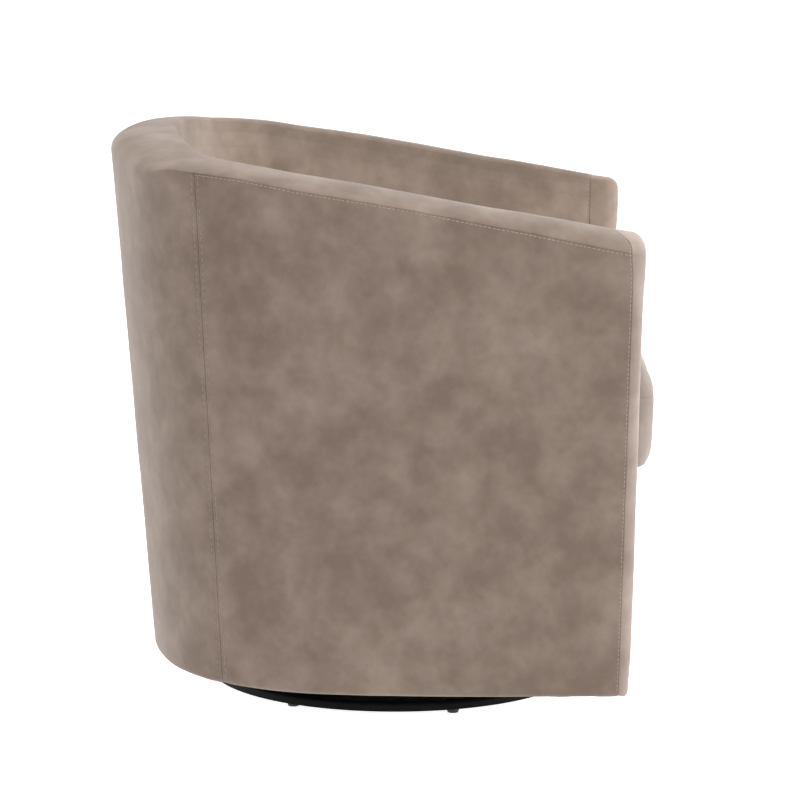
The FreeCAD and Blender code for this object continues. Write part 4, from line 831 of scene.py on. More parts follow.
def tub_cover():
    z_v = np.array([0.70])
    for _ in range(8):
        s_v = station_of_seam(z_v)
        z_v = outer_top(s_v, z_v, np.full(1, 0.0128))
    s_v, z_v = float(s_v[0]), float(z_v[0])
    ahead = run(np.array(s_v), 96, True, True)
    rear = s_v + run(np.array(S_END - s_v), 66, True, False)[1:]
    half = np.concatenate([ahead, rear])
    j0 = len(ahead) - 1
    S1 = np.concatenate([half, half[-2::-1]])
    m = len(S1)
    mirror = np.arange(m) > m // 2
    # over the rim and down the inner face
    th = np.radians(np.concatenate([[0, 1.5, 3.5, 6, 9, 12.5, 16.5, 21, 26, 31], np.arange(36, 90, 4.5), [90]]))
    rows = [("out", 1.0 - math.cos(a)) for a in th]
    rows += [("in", a) for a in np.radians(np.arange(9, 91, 9))]
    rows += [("face", f) for f in np.linspace(0, 1, 60)[1:]]
    upper = []
    for kind, u in rows:
        z = np.full(m, 0.68)
        dd = np.full(m, 0.03)
        for _ in range(7):
            x, y, nx, ny = skin(S1, z, dd, behind(dd, z))
            dc, dw = crown_depth(ny), wall_depth(ny)
            c = crown_z(y + (dd - dc) * ny)
            if kind == "out":
                dd = dc * u
                z = c - drop_seam(y, ny) * section(u, at_back(ny))
            elif kind == "in":
                dd = dc + R_IN * math.sin(u)
                z = c - R_IN * (1.0 - math.cos(u))
            else:
                z = (c - R_IN) + (SEAT + 0.0004 - (c - R_IN)) * u
                # a softly filled inner face, fuller above the seat
                fill = 0.0008 + (0.0030 + 0.0070 * ny) * smooth((z - 0.455) / 0.08) * smooth((c - 0.02 - z) / 0.10)
                dd = dw + fill * smooth((c - R_IN - z) / 0.03)
        upper.append(np.stack([np.where(mirror, -x, x), y, z], -1))
    upper = np.array(upper)
    # outer back
    n_low = 74
    v = run(np.array(z_v - Z_LOW), n_low, False, True) / (z_v - Z_LOW)
    back = np.arange(j0, m - j0)
    part = (S1[back] - s_v) / (S_END - s_v)
    ss = station_of_seam(Z_LOW + (z_v - Z_LOW) * v)[:, None]
    S = ss + (S_END - ss) * part[None, :]
    Z = Z_LOW + (upper[0, back, 2] - Z_LOW)[None, :] * v[:, None]
    x, y, _, _ = skin(S, Z, 0.0)
    lower = np.stack([np.where(mirror[back][None, :], -x, x), y, Z], -1)
    under = []
    for d, h in UNDER:
        x, y, _, _ = skin(S[0], ZB + h, d)
        under.append(np.stack([np.where(mirror[back], -x, x), y, np.full(len(back), ZB + h)], -1))
    lower = np.concatenate([np.array(under), lower[:-1]])
    n_b = len(lower)
    full = np.full((n_b + len(upper), m, 3), np.nan)
    full[:n_b, back] = lower
    full[n_b:] = upper
    have = ~np.isnan(full[..., 0])
    index = np.full(have.shape, -1)
    index[have] = np.arange(have.sum())
    cell = have[:-1, :-1] & have[:-1, 1:] & have[1:, 1:] & have[1:, :-1]
    a, b, c, d = index[:-1, :-1], index[:-1, 1:], index[1:, 1:], index[1:, :-1]
    faces = np.stack([a, b, c, d], -1)[cell]
    verts = full[have]
    N = np.full(full.shape, np.nan)
    N[have] = vertex_normals(verts, faces)
    if N[n_b + 14, j0 // 2, 2] < 0:
        N = -N
    # distances to the seams
    sink = np.zeros(have.shape)
    near = np.full(have.shape, 1.0)
    from_seam, _ = along(upper, 0)
    e0, e1 = along(upper, 1)
    ends = np.minimum(e0, e1)
    past = np.maximum(np.minimum(e0[0] - e0[0, j0], e0[0, m - 1 - j0] - e0[0]), 0.0)
    held = 1.0 - smooth(past / 0.020)
    sink[n_b:] = np.maximum(g(from_seam, 0.0006) * held, g(ends, ROLL_CAP))
    sink[n_b:] += 0.0006 * np.exp(-from_seam / 0.007) * held + seam_sink(ends, True, 0.0006, 0.011, CLOSE_AT) - g(ends, ROLL)
    near[n_b:] = np.minimum(from_seam + 0.05 * (1.0 - held), ends)
    strip_ = np.concatenate([lower, upper[:1, back]])
    a0, a1 = along(strip_, 1)
    side = np.minimum(a0, a1)
    _, to_top = along(strip_, 0)
    h = held[back][None, :]
    low_sink = np.maximum(g(side, ROLL), g(to_top, 0.0006) * h)
    low_sink = low_sink + seam_sink(side, True) - g(side, ROLL) + 0.0006 * np.exp(-to_top / 0.007) * h
    sink[:n_b, back] = low_sink[:-1]
    sink[n_b, back] = np.maximum(sink[n_b, back], low_sink[-1])
    near[:n_b, back] = np.minimum(side, to_top + 0.05 * (1.0 - h))[:-1]
    P = full[have]
    wave = 0.0013 * fbm(P, 4.5, 41) + 0.0006 * fbm(P, 15.0, 43)
    pucker = 0.00032 * vnoise(P, 95.0, 47) * np.exp(-(((near[have] - 0.005) / 0.010) ** 2))
    F = full.copy()
    F[have] = P - N[have] * (sink[have] - wave * smooth(near[have] / 0.03) - pucker)[:, None]
    deep = np.maximum(sink[have] + 0.0012, 0.0034)
    B = P - N[have] * deep[:, None]
    lines = {
        "ends": [(F[n_b:, k], N[n_b:, k]) for k in (CLOSE_AT, m - 1 - CLOSE_AT)],
        "back": [(F[N_UNDER:n_b, k], N[N_UNDER:n_b, k]) for k in (j0 + STITCH_AT, m - 1 - j0 - STITCH_AT)],
    }
    first = n_b + len(th) - 1
    row = np.repeat(np.arange(len(cell))[:, None], cell.shape[1], 1)[cell]
    inside = np.searchsorted(first + np.array([3, 7, 10, 12, 15]), row, side="right")
    return F[have], B, faces, lines, inside


F, B, faces, L, inside = tub_cover()
o = thicken("tub_cover", F, B, faces, SUEDE)
for mat in SUEDE_LIT_STEPS + [SUEDE_INSIDE_LIT]:
    o.data.materials.append(mat)
# painted light: the rows over the rim and down the inside take the lighter suede copies, band by band
use = np.zeros(len(o.data.polygons), np.int32)
use[: len(faces)] = inside
o.data.polygons.foreach_set("material_index", use)
finish_piece(
    o, "tub", "upholstery", "rim_cover", "rim_padding", "inner_cover_right", "inner_cover_left", "inner_cover_back", "outer_cover_back", fill=0.85
)
# the pale thread along the arm-front edges is painted highlight
stitches("stitch_inside", L["ends"], THREAD_HIGHLIGHT, "tub", 0.0056, 0.0046, 0.00046, seed=8)
stitches("stitch_back", L["back"], THREAD, "tub", seed=7)

# ---------------------------------------------------------------------------
# Arm fronts: a cap over the front end of each arm
# ---------------------------------------------------------------------------


def arm_front():
    z_apex = float(crown_z(F_TOP + 0.02)) - 0.056
    zj = float(crown_z(F_TOP + 0.0135) - DS_FRONT)
    low = ZB + np.array([0.0, 0.0004, 0.0012, 0.0025, 0.0045, 0.007])
    z_out = np.concatenate([low, np.linspace(ZB + 0.013, zj - 0.012, 68), zj - np.array([0.008, 0.005, 0.0025, 0.001])])
    rows = [(float(g(z - ZB, R_LOW)), z, "side") for z in z_out]
    th = np.radians(np.concatenate([[0, 4, 9, 15, 22, 29, 36], np.arange(43, 90, 6.5), [90]]))
    for a in th:
        d = CROWN * (1 - math.cos(a))
        rows.append((d, float(front_edge_z(d)), "top"))
    for a in np.radians(np.arange(10, 91, 10)):
        d = min(CROWN + R_IN * math.sin(a), W)
        rows.append((d, float(front_edge_z(d)), "top"))
    zi = rows[-1][1]
    z_in = np.concatenate([zi - np.array([0.003, 0.007, 0.012, 0.018]), np.linspace(zi - 0.025, ZB + 0.013, 66), low[::-1]])
    rows += [(W - float(g(z - ZB, R_LOW)), z, "side") for z in z_in]
    strip_f = np.array([0.0, 0.03, 0.09, 0.18, 0.30, 0.45, 0.62, 0.80])
    arc = np.radians([0, 9, 18, 28, 38, 49, 60, 75, 90])
    face_f = np.array([0.15, 0.32, 0.5, 0.68, 0.84, 1.0])
    grid = []
    for d0, z0, kind in rows:
        dn = float(front_depth(d0, z0))
        e0 = max(float(behind(d0, z0)), dn + 0.001)
        zs_ = min(z0, z_apex)
        length = math.hypot(MID - d0, zs_ - z0)
        if kind == "top":
            r = float(r_top(np.array(d0)))
        else:
            r = R_OUT if d0 < MID else float(r_in(z0))
        r = min(r, 0.8 * length)
        pts = []
        for f in strip_f:
            yb = e0 + (dn - e0) * f
            dz = 0.0
            if kind == "top":
                dz = float(crown_z(F_TOP + yb) - crown_z(F_TOP + dn))
            elif d0 > MID:
                dz = float(crown_z(F_TOP + yb) - crown_z(F_TOP + dn)) * float(smooth(1 - (zi - z0) / 0.025))
            pts.append((d0, z0 + dz, yb))
        ps = np.concatenate([r * (1 - np.cos(arc)), r + (length - r) * face_f])
        for p in ps:
            d = d0 + (MID - d0) * p / length
            z = z0 + (zs_ - z0) * p / length
            pts.append((d, z, float(front_depth(d, z))))
        grid.append(pts)
    A = np.array(grid)
    d, z, e = A[..., 0], A[..., 1], A[..., 2]
    plump = 0.0026 * (1 - ((d - MID) / MID) ** 2) * smooth((zi + 0.02 - z) / 0.07) * smooth((z - ZB) / 0.06)
    x = q("c0x", z) - (q("r0", z) - d)
    zf = np.minimum(z, 0.625)
    lead = 0.0024 * smooth((z - 0.535) / 0.085) * np.clip(1.0 - e / e[:, :1], 0.0, 1.0)
    y = q("front", zf) + e - plump - lead
    P = np.stack([x, y, z], -1)
    N = normals_of(P)
    # outward: the middle of the outer side looks to -X
    if N[30, 1, 0] > 0:
        N = -N
    edge, _ = along(P, 1)
    sink = seam_sink(edge, False, 0.0007, 0.010) - g(edge, ROLL) + g(edge, ROLL_CAP)
    wave = 0.0007 * fbm(P, 9.0, 61) + 0.0003 * fbm(P, 24.0, 63)
    F = P - N * (sink - wave * smooth(edge / 0.025))[..., None]
    # the two halves meet on the middle line of the face
    F[:, -1] = P[:, -1] + np.array([0.0, -1.0, 0.0]) * (0.0007 * fbm(P[:, -1], 9.0, 61) + 0.0003 * fbm(P[:, -1], 24.0, 63))[:, None]
    N[:, -1] = np.array([0.0, -1.0, 0.0])
    B = P - N * np.maximum(sink + 0.0010, 0.0034)[..., None]
    B[:, -1] = P[:, -1] + np.array([0.0, 0.0034, 0.0])
    return F, B


F, B = arm_front()
for side, sign in (("right", 1.0), ("left", -1.0)):
    k = np.array([sign, 1.0, 1.0])
    o = shell("arm_front_" + side + "_cloth", F * k, B * k, SUEDE_FRONT_LIT, weld=0.00002)
    # painted light: each face is coloured by which way it looks, the lit front copy outwards, the edge copy where it
    # turns, the lighter inside copy inwards
    for mat in (SUEDE_EDGE_LIT, SUEDE_INSIDE_LIT):
        o.data.materials.append(mat)
    turned = np.empty(len(o.data.polygons) * 3)
    o.data.polygons.foreach_get("normal", turned)
    turned = turned.reshape(-1, 3)[:, 0] * sign
    o.data.polygons.foreach_set("material_index", np.searchsorted([0.40, 0.75], turned).astype(np.int32))
    # the face is shaded as one across its middle line
    co = np.empty(len(o.data.vertices) * 3)
    o.data.vertices.foreach_get("co", co)
    co = co.reshape(-1, 3)
    middle = np.abs(co[:, 0] * sign - q("c0x", co[:, 2]) + q("r0", co[:, 2]) - MID) < 0.00003
    ends = np.empty(len(o.data.edges) * 2, np.int32)
    o.data.edges.foreach_get("vertices", ends)
    o.data.edges.foreach_set("use_edge_sharp", middle[ends.reshape(-1, 2)].all(axis=1))
    finish_piece(o, "tub", "upholstery", "arm_front_" + side, fill=0.85)

# ---------------------------------------------------------------------------
# Front cover below the cushion
# ---------------------------------------------------------------------------


def front_cover():
    r = 0.0068
    ztop = 0.3221
    under = [(0.022, 0.0), (0.014, 0.0)] + [(r * (1 - math.cos(a)), r * (1 - math.sin(a))) for a in np.radians([90, 70, 50, 32, 15])]
    body_z = np.linspace(ZB + r, ztop - r, 40)
    over = [(r * (1 - math.cos(a)), -r * (1 - math.sin(a))) for a in np.radians([15, 32, 50, 70, 90])]
    prof = [(b, ZB + h) for b, h in under] + [(0.0, z) for z in body_z] + [(b, ztop + h) for b, h in over]
    prof = np.array(prof)
    width = 2.0 * (0.330 + 0.018 * (prof[:, 1] - ZB) / (ZT - ZB) - W - 0.0002)
    X = run(width, 60, True, True) - 0.5 * width[:, None]
    Y = (q("front", prof[:, 1]) + 0.006 + prof[:, 0])[:, None] + 0.0 * X
    Z = prof[:, 1][:, None] + 0.0 * X
    P = np.stack([X, Y, Z], -1)
    N = normals_of(P)
    if N[20, 30, 1] > 0:
        N = -N
    a0, a1 = along(P, 1)
    edge = np.minimum(a0, a1)
    mid_z = smooth((Z - ZB) / 0.05) * smooth((ztop - Z) / 0.05)
    wave = 0.0010 * fbm(P, (4.0, 6.0, 6.0), 71) + 0.0004 * fbm(P, 20.0, 73) + 0.0020 * mid_z
    sink = seam_sink(edge, False, 0.0015, 0.012)
    F = P - N * (sink - wave * smooth(edge / 0.03))[..., None]
    B = P - N * np.maximum(sink + 0.001, 0.0034)[..., None]
    return F, B


F, B = front_cover()
# painted light: the front cover takes the lighter front copy of the suede
o = shell("front_cover_cloth", F, B, SUEDE_FRONT_LIT)
finish_piece(o, "tub", "upholstery", "front_cover", fill=0.9)

# ---------------------------------------------------------------------------
# Seat cushion: boxed cover over foam, inflated as cloth between its seams
# ---------------------------------------------------------------------------
C_LOW, C_SEAM, C_UNDER = 0.3245, 0.4205, 0.3335
C_FRONT, C_SET, C_CORNER = -0.3278, 0.0712, 0.038


def closed_line(right, count):
    """A closed outline from its right half (front middle to back middle), evenly spaced."""
    left = right[-2:0:-1] * np.array([-1.0, 1.0])
    p = np.concatenate([right, left, right[:1]])
    c = np.concatenate([[0.0], np.cumsum(np.linalg.norm(np.diff(p, axis=0), axis=1))])
    at = np.linspace(0.0, c[-1], count, endpoint=False)
    return np.stack([np.interp(at, c, p[:, k]) for k in range(2)], -1)


def cushion_ring(inset, count=260):
    s = np.linspace(0.0, S_END, 500)
    _, _, _, ny = skin(s, 0.33, 0.0)
    x, y, _, _ = skin(s, 0.33, C_SET + EXTRA * ny + inset)
    yf = C_FRONT + inset
    xs = x[0]
    r = C_CORNER
    a = np.radians(np.linspace(0.0, 90.0, 14))
    front = np.stack([np.linspace(0.0, xs + r, 30), np.full(30, yf)], -1)
    corner = np.stack([xs + r - r * np.sin(a), yf + r - r * np.cos(a)], -1)
    keep = y > yf + r + 0.003
    side = np.stack([x[keep], y[keep]], -1)
    side[-1, 0] = 0.0
    return closed_line(np.concatenate([front, corner[1:], side]), count)


def cushion_cover():
    rows = [
        (0.3246, 0.060), (0.3246, 0.030), (0.3250, 0.0175), (0.3285, 0.0115), (C_UNDER, 0.0075), (0.345, 0.0055), (0.362, 0.0045),
        (0.382, 0.0040), (0.402, 0.0030), (C_SEAM, 0.0015), (0.430, 0.0026), (0.444, 0.0052), (0.455, 0.0096), (0.463, 0.0170),
        (0.4675, 0.0350), (0.4700, 0.0650), (0.4715, 0.1000),
    ]
    rings = [np.column_stack([cushion_ring(i), np.full(260, z)]) for z, i in rows]
    mid = np.array([0.0, -0.035, 0.0])
    low, top = rings[0], rings[-1]
    rings = [low * np.array([f, f, 1.0]) + mid * (1.0 - f) for f in (0.25, 0.6)] + rings
    rings += [top * np.array([f, f, 1.0]) + mid * (1.0 - f) + np.array([0.0, 0.0, 0.0012 * (1.0 - f)]) for f in (0.7, 0.4, 0.15)]
    G = np.array(rings)
    n, m, _ = G.shape
    idx = np.arange(n * m).reshape(n, m)
    nxt = np.roll(idx, -1, axis=1)
    faces = np.stack([idx[:-1], nxt[:-1], nxt[1:], idx[1:]], -1).reshape(-1, 4).tolist()
    faces += [idx[0, ::-1].tolist(), idx[-1].tolist()]
    # painted light: the cover takes the lighter seat copy of the suede
    obj = new_object("seat_cushion_cover", G.reshape(-1, 3), faces, SUEDE_SEAT_LIT)
    bpy.context.view_layer.objects.active = obj
    obj.select_set(True)
    rm = obj.modifiers.new("remesh", "REMESH")
    rm.mode = "VOXEL"
    rm.voxel_size = 0.0075
    rm.use_smooth_shade = True
    bpy.ops.object.modifier_apply(modifier="remesh")
    mesh = obj.data
    count = len(mesh.vertices)
    start = np.empty(count * 3)
    mesh.vertices.foreach_get("co", start)
    start = start.reshape(-1, 3)
    # the two sewn seams and the face it lies on hold while the rest is blown up
    pin = obj.vertex_groups.new(name="pin")
    held = (np.abs(start[:, 2] - C_SEAM) < 0.0040) | (np.abs(start[:, 2] - C_UNDER) < 0.0040) | (start[:, 2] < 0.3262)
    held &= start[:, 2] < 0.43
    pin.add(np.nonzero(held)[0].tolist(), 1.0, "REPLACE")
    cloth = obj.modifiers.new("cloth", "CLOTH")
    st = cloth.settings
    st.quality = 5
    st.mass = 0.25
    st.tension_stiffness = 12.0
    st.compression_stiffness = 12.0
    st.shear_stiffness = 4.0
    st.bending_stiffness = 0.6
    st.use_pressure = True
    st.uniform_pressure_force = 4.0
    st.vertex_group_mass = "pin"
    st.effector_weights.gravity = 0.0
    cloth.collision_settings.use_collision = False
    cloth.collision_settings.use_self_collision = False
    cloth.point_cache.frame_start = 1
    cloth.point_cache.frame_end = 20
    for f in range(1, 21):
        scene.frame_set(f)
    deps = bpy.context.evaluated_depsgraph_get()
    done = obj.evaluated_get(deps)
    moved = np.empty(count * 3)
    done.data.vertices.foreach_get("co", moved)
    moved = moved.reshape(-1, 3)
    obj.modifiers.remove(cloth)
    scene.frame_set(1)
    # keep the swelling outwards, evened out over the neighbours
    out_n = np.empty(count * 3)
    mesh.vertices.foreach_get("normal", out_n)
    out_n = out_n.reshape(-1, 3)
    swell = np.sum((moved - start) * out_n, axis=1)
    pairs = np.empty(len(mesh.edges) * 2, np.int32)
    mesh.edges.foreach_get("vertices", pairs)
    pairs = pairs.reshape(-1, 2)
    links = np.maximum(np.bincount(pairs.ravel(), minlength=count), 1)
    for _ in range(8):
        total = np.bincount(pairs[:, 0], swell[pairs[:, 1]], count) + np.bincount(pairs[:, 1], swell[pairs[:, 0]], count)
        swell = 0.4 * swell + 0.6 * total / links
    cap = 0.0045 + 0.0065 * smooth((start[:, 2] - 0.440) / 0.025)
    swell = cap * np.tanh(np.maximum(swell, 0.0) / cap)
    pos = start + out_n * swell[:, None]
    mesh.vertices.foreach_set("co", pos.reshape(-1))
    mesh.update()
    sub = obj.modifiers.new("sub", "SUBSURF")
    sub.levels = 1
    sub.render_levels = 1
    bpy.ops.object.modifier_apply(modifier="sub")
    # rows of points along both seams, then the seams themselves
    bm = bmesh.new()
    bm.from_mesh(obj.data)
    for seam in (C_SEAM, C_UNDER):
        for off in (0.0, 0.0007, -0.0007, 0.0016, -0.0016, 0.0030, -0.0030):
            geom = bm.verts[:] + bm.edges[:] + bm.faces[:]
            bmesh.ops.bisect_plane(bm, geom=geom, dist=1e-5, plane_co=(0.0, 0.0, seam + off), plane_no=(0.0, 0.0, 1.0))
    bmesh.ops.remove_doubles(bm, verts=bm.verts, dist=0.00012)
    bmesh.ops.dissolve_degenerate(bm, edges=bm.edges, dist=0.00005)
    bm.normal_update()
    bm.verts.index_update()
    P = np.array([v.co[:] for v in bm.verts])
    N = np.array([v.normal[:] for v in bm.verts])
    d_top, d_low = np.abs(P[:, 2] - C_SEAM), np.abs(P[:, 2] - C_UNDER)
    out = 1.0 - np.abs(N[:, 2])
    sink = (0.0009 * np.exp(-((d_top / 0.0012) ** 2)) + 0.0006 * np.exp(-d_top / 0.009)) * smooth(out / 0.5)
    sink = sink + (seam_sink(d_low, False, 0.0012, 0.006)) * smooth(out / 0.4)
    near = np.minimum(d_top, d_low)
    wave = 0.0014 * fbm(P, 7.0, 91) + 0.0006 * fbm(P, 21.0, 93)
    # short pulls that run away from the seams
    pulls = 0.0007 * vnoise(P, (55.0, 55.0, 9.0), 97) * np.exp(-near / 0.018) * smooth(near / 0.004)
    F = P - N * (sink - (wave + pulls) * smooth(near / 0.012))[:, None]
    F[:, 2] = np.maximum(F[:, 2], 0.3237)
    # the front edge of the top is soft and gives way
    F[:, 1] += 0.0050 * smooth((F[:, 2] - 0.421) / 0.034) * smooth((-0.235 - F[:, 1]) / 0.055)
    # clear of the foam
    core = NODES["cushion_core"]
    turn_ = core.matrix_world
    tree = BVHTree.FromPolygons([turn_ @ v.co for v in core.data.vertices], [tuple(f.vertices) for f in core.data.polygons])
    for k in range(len(F)):
        spot, face_n, _, _ = tree.find_nearest(Vector(F[k]))
        gap = (Vector(F[k]) - spot).dot(face_n)
        if gap < 0.0015:
            F[k] = spot + 0.0015 * face_n
    # clear of the tub
    dd, tt = depth_in_wall(F[:, 0], F[:, 1], F[:, 2])
    need = 0.0705 + EXTRA * np.sin(tt)
    zone = np.exp(-(((F[:, 2] - 0.397) / 0.014) ** 2)) * smooth((F[:, 1] - 0.19) / 0.03)
    low_d, low_t = depth_in_wall(F[:, 0], F[:, 1], np.full(len(F), 0.323))
    short = np.maximum(need - dd, 0.0)
    short = np.maximum(short, (0.0722 + EXTRA * np.sin(low_t) - low_d) * (zone > 0.4))
    F[:, 0] += short * np.cos(tt) * np.where(F[:, 0] < 0, 1.0, -1.0)
    F[:, 1] -= short * np.sin(tt)
    for v, p in zip(bm.verts, F):
        v.co = p
    bmesh.ops.recalc_face_normals(bm, faces=bm.faces)
    bm.to_mesh(obj.data)
    bm.free()
    obj.data.polygons.foreach_set("use_smooth", [True] * len(obj.data.polygons))
    obj.select_set(False)
    return obj


o = cushion_cover()
finish_piece(o, "seat_cushion", "upholstery", "cushion_cover", "cushion_base_cover", fill=0.75)


# zip at the back of the cushion: coil and slider on the CAD tape
def boxes(name, items, material, body):
    """Small rounded blocks: centre, three half-size axes."""
    verts, faces = [], []
    for c, ax, ay, az in items:
        base = len(verts)
        for k, shrink in ((-1.0, 0.8), (-0.8, 1.0), (0.8, 1.0), (1.0, 0.8)):
            for sx, sy in ((-1, -1), (1, -1), (1, 1), (-1, 1)):
                verts.append(np.asarray(c) + shrink * (sx * np.asarray(ax) + sy * np.asarray(ay)) + k * np.asarray(az))
        faces.append((base + 3, base + 2, base + 1, base))
        for r in range(3):
            for j in range(4):
                a = base + 4 * r + j
                b = base + 4 * r + (j + 1) % 4
                faces.append((a, b, b + 4, a + 4))
        faces.append((base + 12, base + 13, base + 14, base + 15))
    obj = new_object(name, verts, faces, material)
    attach(obj, body)
    return obj


ZIP_R = float(q("rb", 0.323)) - 0.071 + 0.0012 + 0.0004
ZIP_Y = float(q("cby", 0.323)) - EXTRA
ZIP_Z = 0.397
items = []
for k, a in enumerate(np.arange(-0.148, 0.1481, 0.0022) / ZIP_R):
    radial = np.array([math.sin(a), math.cos(a), 0.0])
    tangent = np.array([math.cos(a), -math.sin(a), 0.0])
    c = np.array([ZIP_R * math.sin(a), ZIP_Y + ZIP_R * math.cos(a), ZIP_Z + (0.0007 if k % 2 else -0.0007)])
    items.append((c, 0.0007 * tangent, 0.0022 * np.array([0.0, 0.0, 1.0]), 0.0006 * radial))
boxes("zip_coil", items, TAPE, "seat_cushion")
a = 0.141 / ZIP_R
radial = np.array([math.sin(a), math.cos(a), 0.0])
tangent = np.array([math.cos(a), -math.sin(a), 0.0])
at = np.array([ZIP_R * math.sin(a), ZIP_Y + ZIP_R * math.cos(a), ZIP_Z])
up = np.array([0.0, 0.0, 1.0])
boxes(
    "zip_slider",
    [(at + 0.0006 * radial, 0.0050 * tangent, 0.0042 * up, 0.0010 * radial), (at + 0.0020 * radial - 0.006 * tangent, 0.0085 * tangent, 0.0022 * up, 0.0004 * radial)],
    ZINC, "seat_cushion",
)

# ---------------------------------------------------------------------------
# Deck cloth over the springs and dust cover below the tub
# ---------------------------------------------------------------------------


def wall_line(d, z, front, count):
    s = np.linspace(0.0, S_END, 400)
    x, y, _, _ = skin(s, z, d, front)
    right = np.stack([x, y], -1)
    right[-1, 0] = 0.0
    edge = np.stack([np.linspace(0.0, x[0], 24), np.full(24, y[0])], -1)
    return closed_line(np.concatenate([edge, right[1:]]), count)


def sheet_mesh(name, inner, outer, steps, height, thick, material):
    """A cloth between two closed outlines; height gives its top for points in plan."""
    f = np.linspace(0.0, 1.0, steps)[:, None, None]
    plan2 = inner[None] + (outer - inner)[None] * f
    top = np.concatenate([plan2, height(plan2)[..., None]], -1)
    low = top - np.array([0.0, 0.0, thick])
    n, m = top.shape[:2]
    idx = np.arange(n * m).reshape(n, m)
    nxt = np.roll(idx, -1, axis=1)
    up_ = np.stack([idx[:-1], idx[1:], nxt[1:], nxt[:-1]], -1).reshape(-1, 4)
    off = n * m
    rim = [np.stack([idx[-1], idx[-1] + off, nxt[-1] + off, nxt[-1]], -1), np.stack([nxt[0], nxt[0] + off, idx[0] + off, idx[0]], -1)]
    faces = np.concatenate([up_, up_[:, ::-1] + off] + rim)
    return new_object(name, np.concatenate([top.reshape(-1, 3), low.reshape(-1, 3)]), faces.tolist(), material)


edge = wall_line(0.0387, 0.321, 0.0131, 300)
hole = edge * 0.004 + np.array([0.0, 0.0])


def deck_height(p):
    x, y = p[..., 0], p[..., 1]
    ribs = sum(np.exp(-(((x - 0.1 * k) / 0.019) ** 2)) for k in range(-2, 3))
    bars = 0.5 + 0.5 * np.cos(2.0 * math.pi * (y + 0.2475) / 0.022)
    inside = smooth((0.215 - np.abs(y - 0.01)) / 0.04) * smooth((0.245 - np.abs(x)) / 0.03)
    p3 = np.concatenate([p, np.zeros(p.shape[:-1] + (1,))], -1)
    return 0.3224 - 0.0010 * inside * (1.0 - ribs * (0.75 + 0.25 * bars)) + 0.00025 * fbm(p3, 14.0, 83) * inside


o = sheet_mesh("deck_cloth", hole, edge, 70, deck_height, 0.0022, FELT)
finish_piece(o, "tub", "felt", "deck_felt")

edge = wall_line(0.0060, 0.0535, 0.0131, 320)
ang = np.arctan2(edge[:, 1], edge[:, 0])
hole = 0.180 * np.stack([np.cos(ang), np.sin(ang)], -1)


def dust_height(p):
    r = np.hypot(p[..., 0], p[..., 1])
    p3 = np.concatenate([p, np.zeros(p.shape[:-1] + (1,))], -1)
    free = smooth((r - 0.18) / 0.02)
    return 0.0546 - 0.0004 * free * (1.0 + vnoise(p3, 34.0, 87)) - 0.0002 * (1.0 + vnoise(p3, 90.0, 89))


o = sheet_mesh("dust_cloth", hole, edge, 26, dust_height, 0.0009, DUST)
finish_piece(o, "tub", "dust_cloth", "dust_cover")

line = wall_line(0.0150, 0.0535, 0.0220, 64)
turn = np.roll(line, -1, axis=0) - np.roll(line, 1, axis=0)
turn /= np.linalg.norm(turn, axis=1, keepdims=True)
items = []
for p, t in zip(line, turn):
    c = np.array([p[0], p[1], 0.0527])
    tx = np.array([t[0], t[1], 0.0])
    nx_ = np.array([-t[1], t[0], 0.0])
    items.append((c, 0.0055 * tx, 0.00045 * nx_, np.array([0.0, 0.0, 0.0004])))
boxes("dust_staples", items, ZINC, "tub")

# ---------------------------------------------------------------------------
# Camera, light, floor
# ---------------------------------------------------------------------------
cam_data = bpy.data.cameras.new("camera")
cam = bpy.data.objects.new("camera", cam_data)
scene.collection.objects.link(cam)
cam_data.sensor_width = 36.0
cam_data.lens = 175.77
PITCH = math.radians(9.99)
DIST = 5.14
target = Vector((0.0, -0.006, 0.372))
look = Vector((math.cos(PITCH), 0.0, -math.sin(PITCH)))
cam.location = target - look * DIST
cam.rotation_euler = look.to_track_quat("-Z", "Y").to_euler()
cam_data.clip_end = 200.0
scene.camera = cam

scene.view_settings.view_transform = "Standard"
scene.view_settings.look = "None"

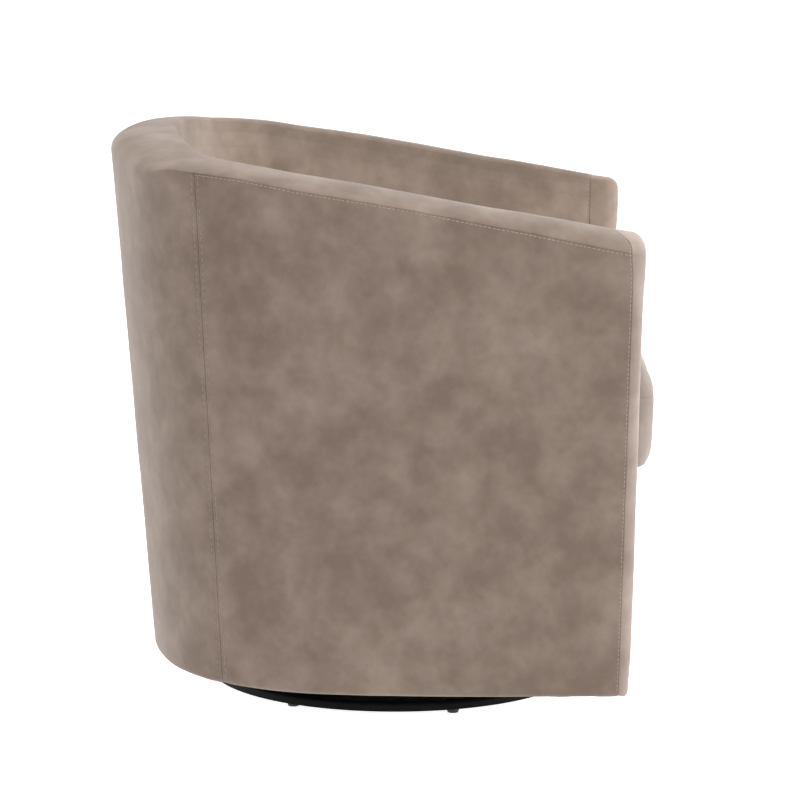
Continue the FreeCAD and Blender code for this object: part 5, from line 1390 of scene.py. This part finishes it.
world = bpy.data.worlds.new("studio")
scene.world = world
world.use_nodes = True
bg = world.node_tree.nodes["Background"]
bg.inputs["Color"].default_value = (1.0, 1.0, 1.0, 1.0)
bg.inputs["Strength"].default_value = 1.0


def area(name, at, to, size, power, color=(1.0, 1.0, 1.0)):
    data = bpy.data.lights.new(name, "AREA")
    data.shape = "RECTANGLE"
    data.size, data.size_y = size
    data.energy = power
    data.color = color
    o = bpy.data.objects.new(name, data)
    scene.collection.objects.link(o)
    o.location = at
    o.rotation_euler = (Vector(to) - Vector(at)).to_track_quat("-Z", "Y").to_euler()
    return o


area("light_top", (-0.7, 0.0, 3.0), (0.1, 0.0, 0.4), (2.6, 3.0), 132.0)
area("light_front", (-0.6, -3.0, 1.2), (0.0, 0.0, 0.4), (2.0, 2.0), 134.0, (0.91, 0.97, 1.0))
area("light_back", (0.7, 3.0, 1.2), (0.0, 0.0, 0.4), (2.0, 2.0), 40.0, (0.91, 0.97, 1.0))


def floor_material():
    t = Tree("floor")
    tone = t.noise(0.6, 3.0, 0.5)
    color = t.ramp(tone, [(0.3, (0.94, 0.94, 0.94)), (0.7, (0.96, 0.96, 0.96))])
    # painted light: the floor glows, 0.94 within 0.40 m of the chair's axis easing to 0.50 by 0.56 m, so the chair
    # casts no visible shadow on it
    away = t.node("ShaderNodeVectorMath", operation="LENGTH")
    t.link(t.obj, away.inputs[0])
    painted_fill_glow = t.node("ShaderNodeMapRange", interpolation_type="SMOOTHSTEP")
    for socket, value in (("From Min", 0.40), ("From Max", 0.56), ("To Min", 0.94), ("To Max", 0.50)):
        painted_fill_glow.inputs[socket].default_value = value
    t.link(away.outputs["Value"], painted_fill_glow.inputs["Value"])
    t.link(painted_fill_glow.outputs["Result"], t.bsdf.inputs["Emission Strength"])
    return t.done(color, 0.9, Specular_IOR_Level=0.1, Emission_Color=(1.0, 1.0, 1.0, 1.0))


me = bpy.data.meshes.new("floor")
ring = [(40.0 * math.cos(a), 40.0 * math.sin(a), 0.0) for a in np.linspace(0, 2 * math.pi, 96, endpoint=False)]
me.from_pydata(ring, [], [tuple(range(96))])
me.materials.append(floor_material())
floor = bpy.data.objects.new("floor", me)
scene.collection.objects.link(floor)
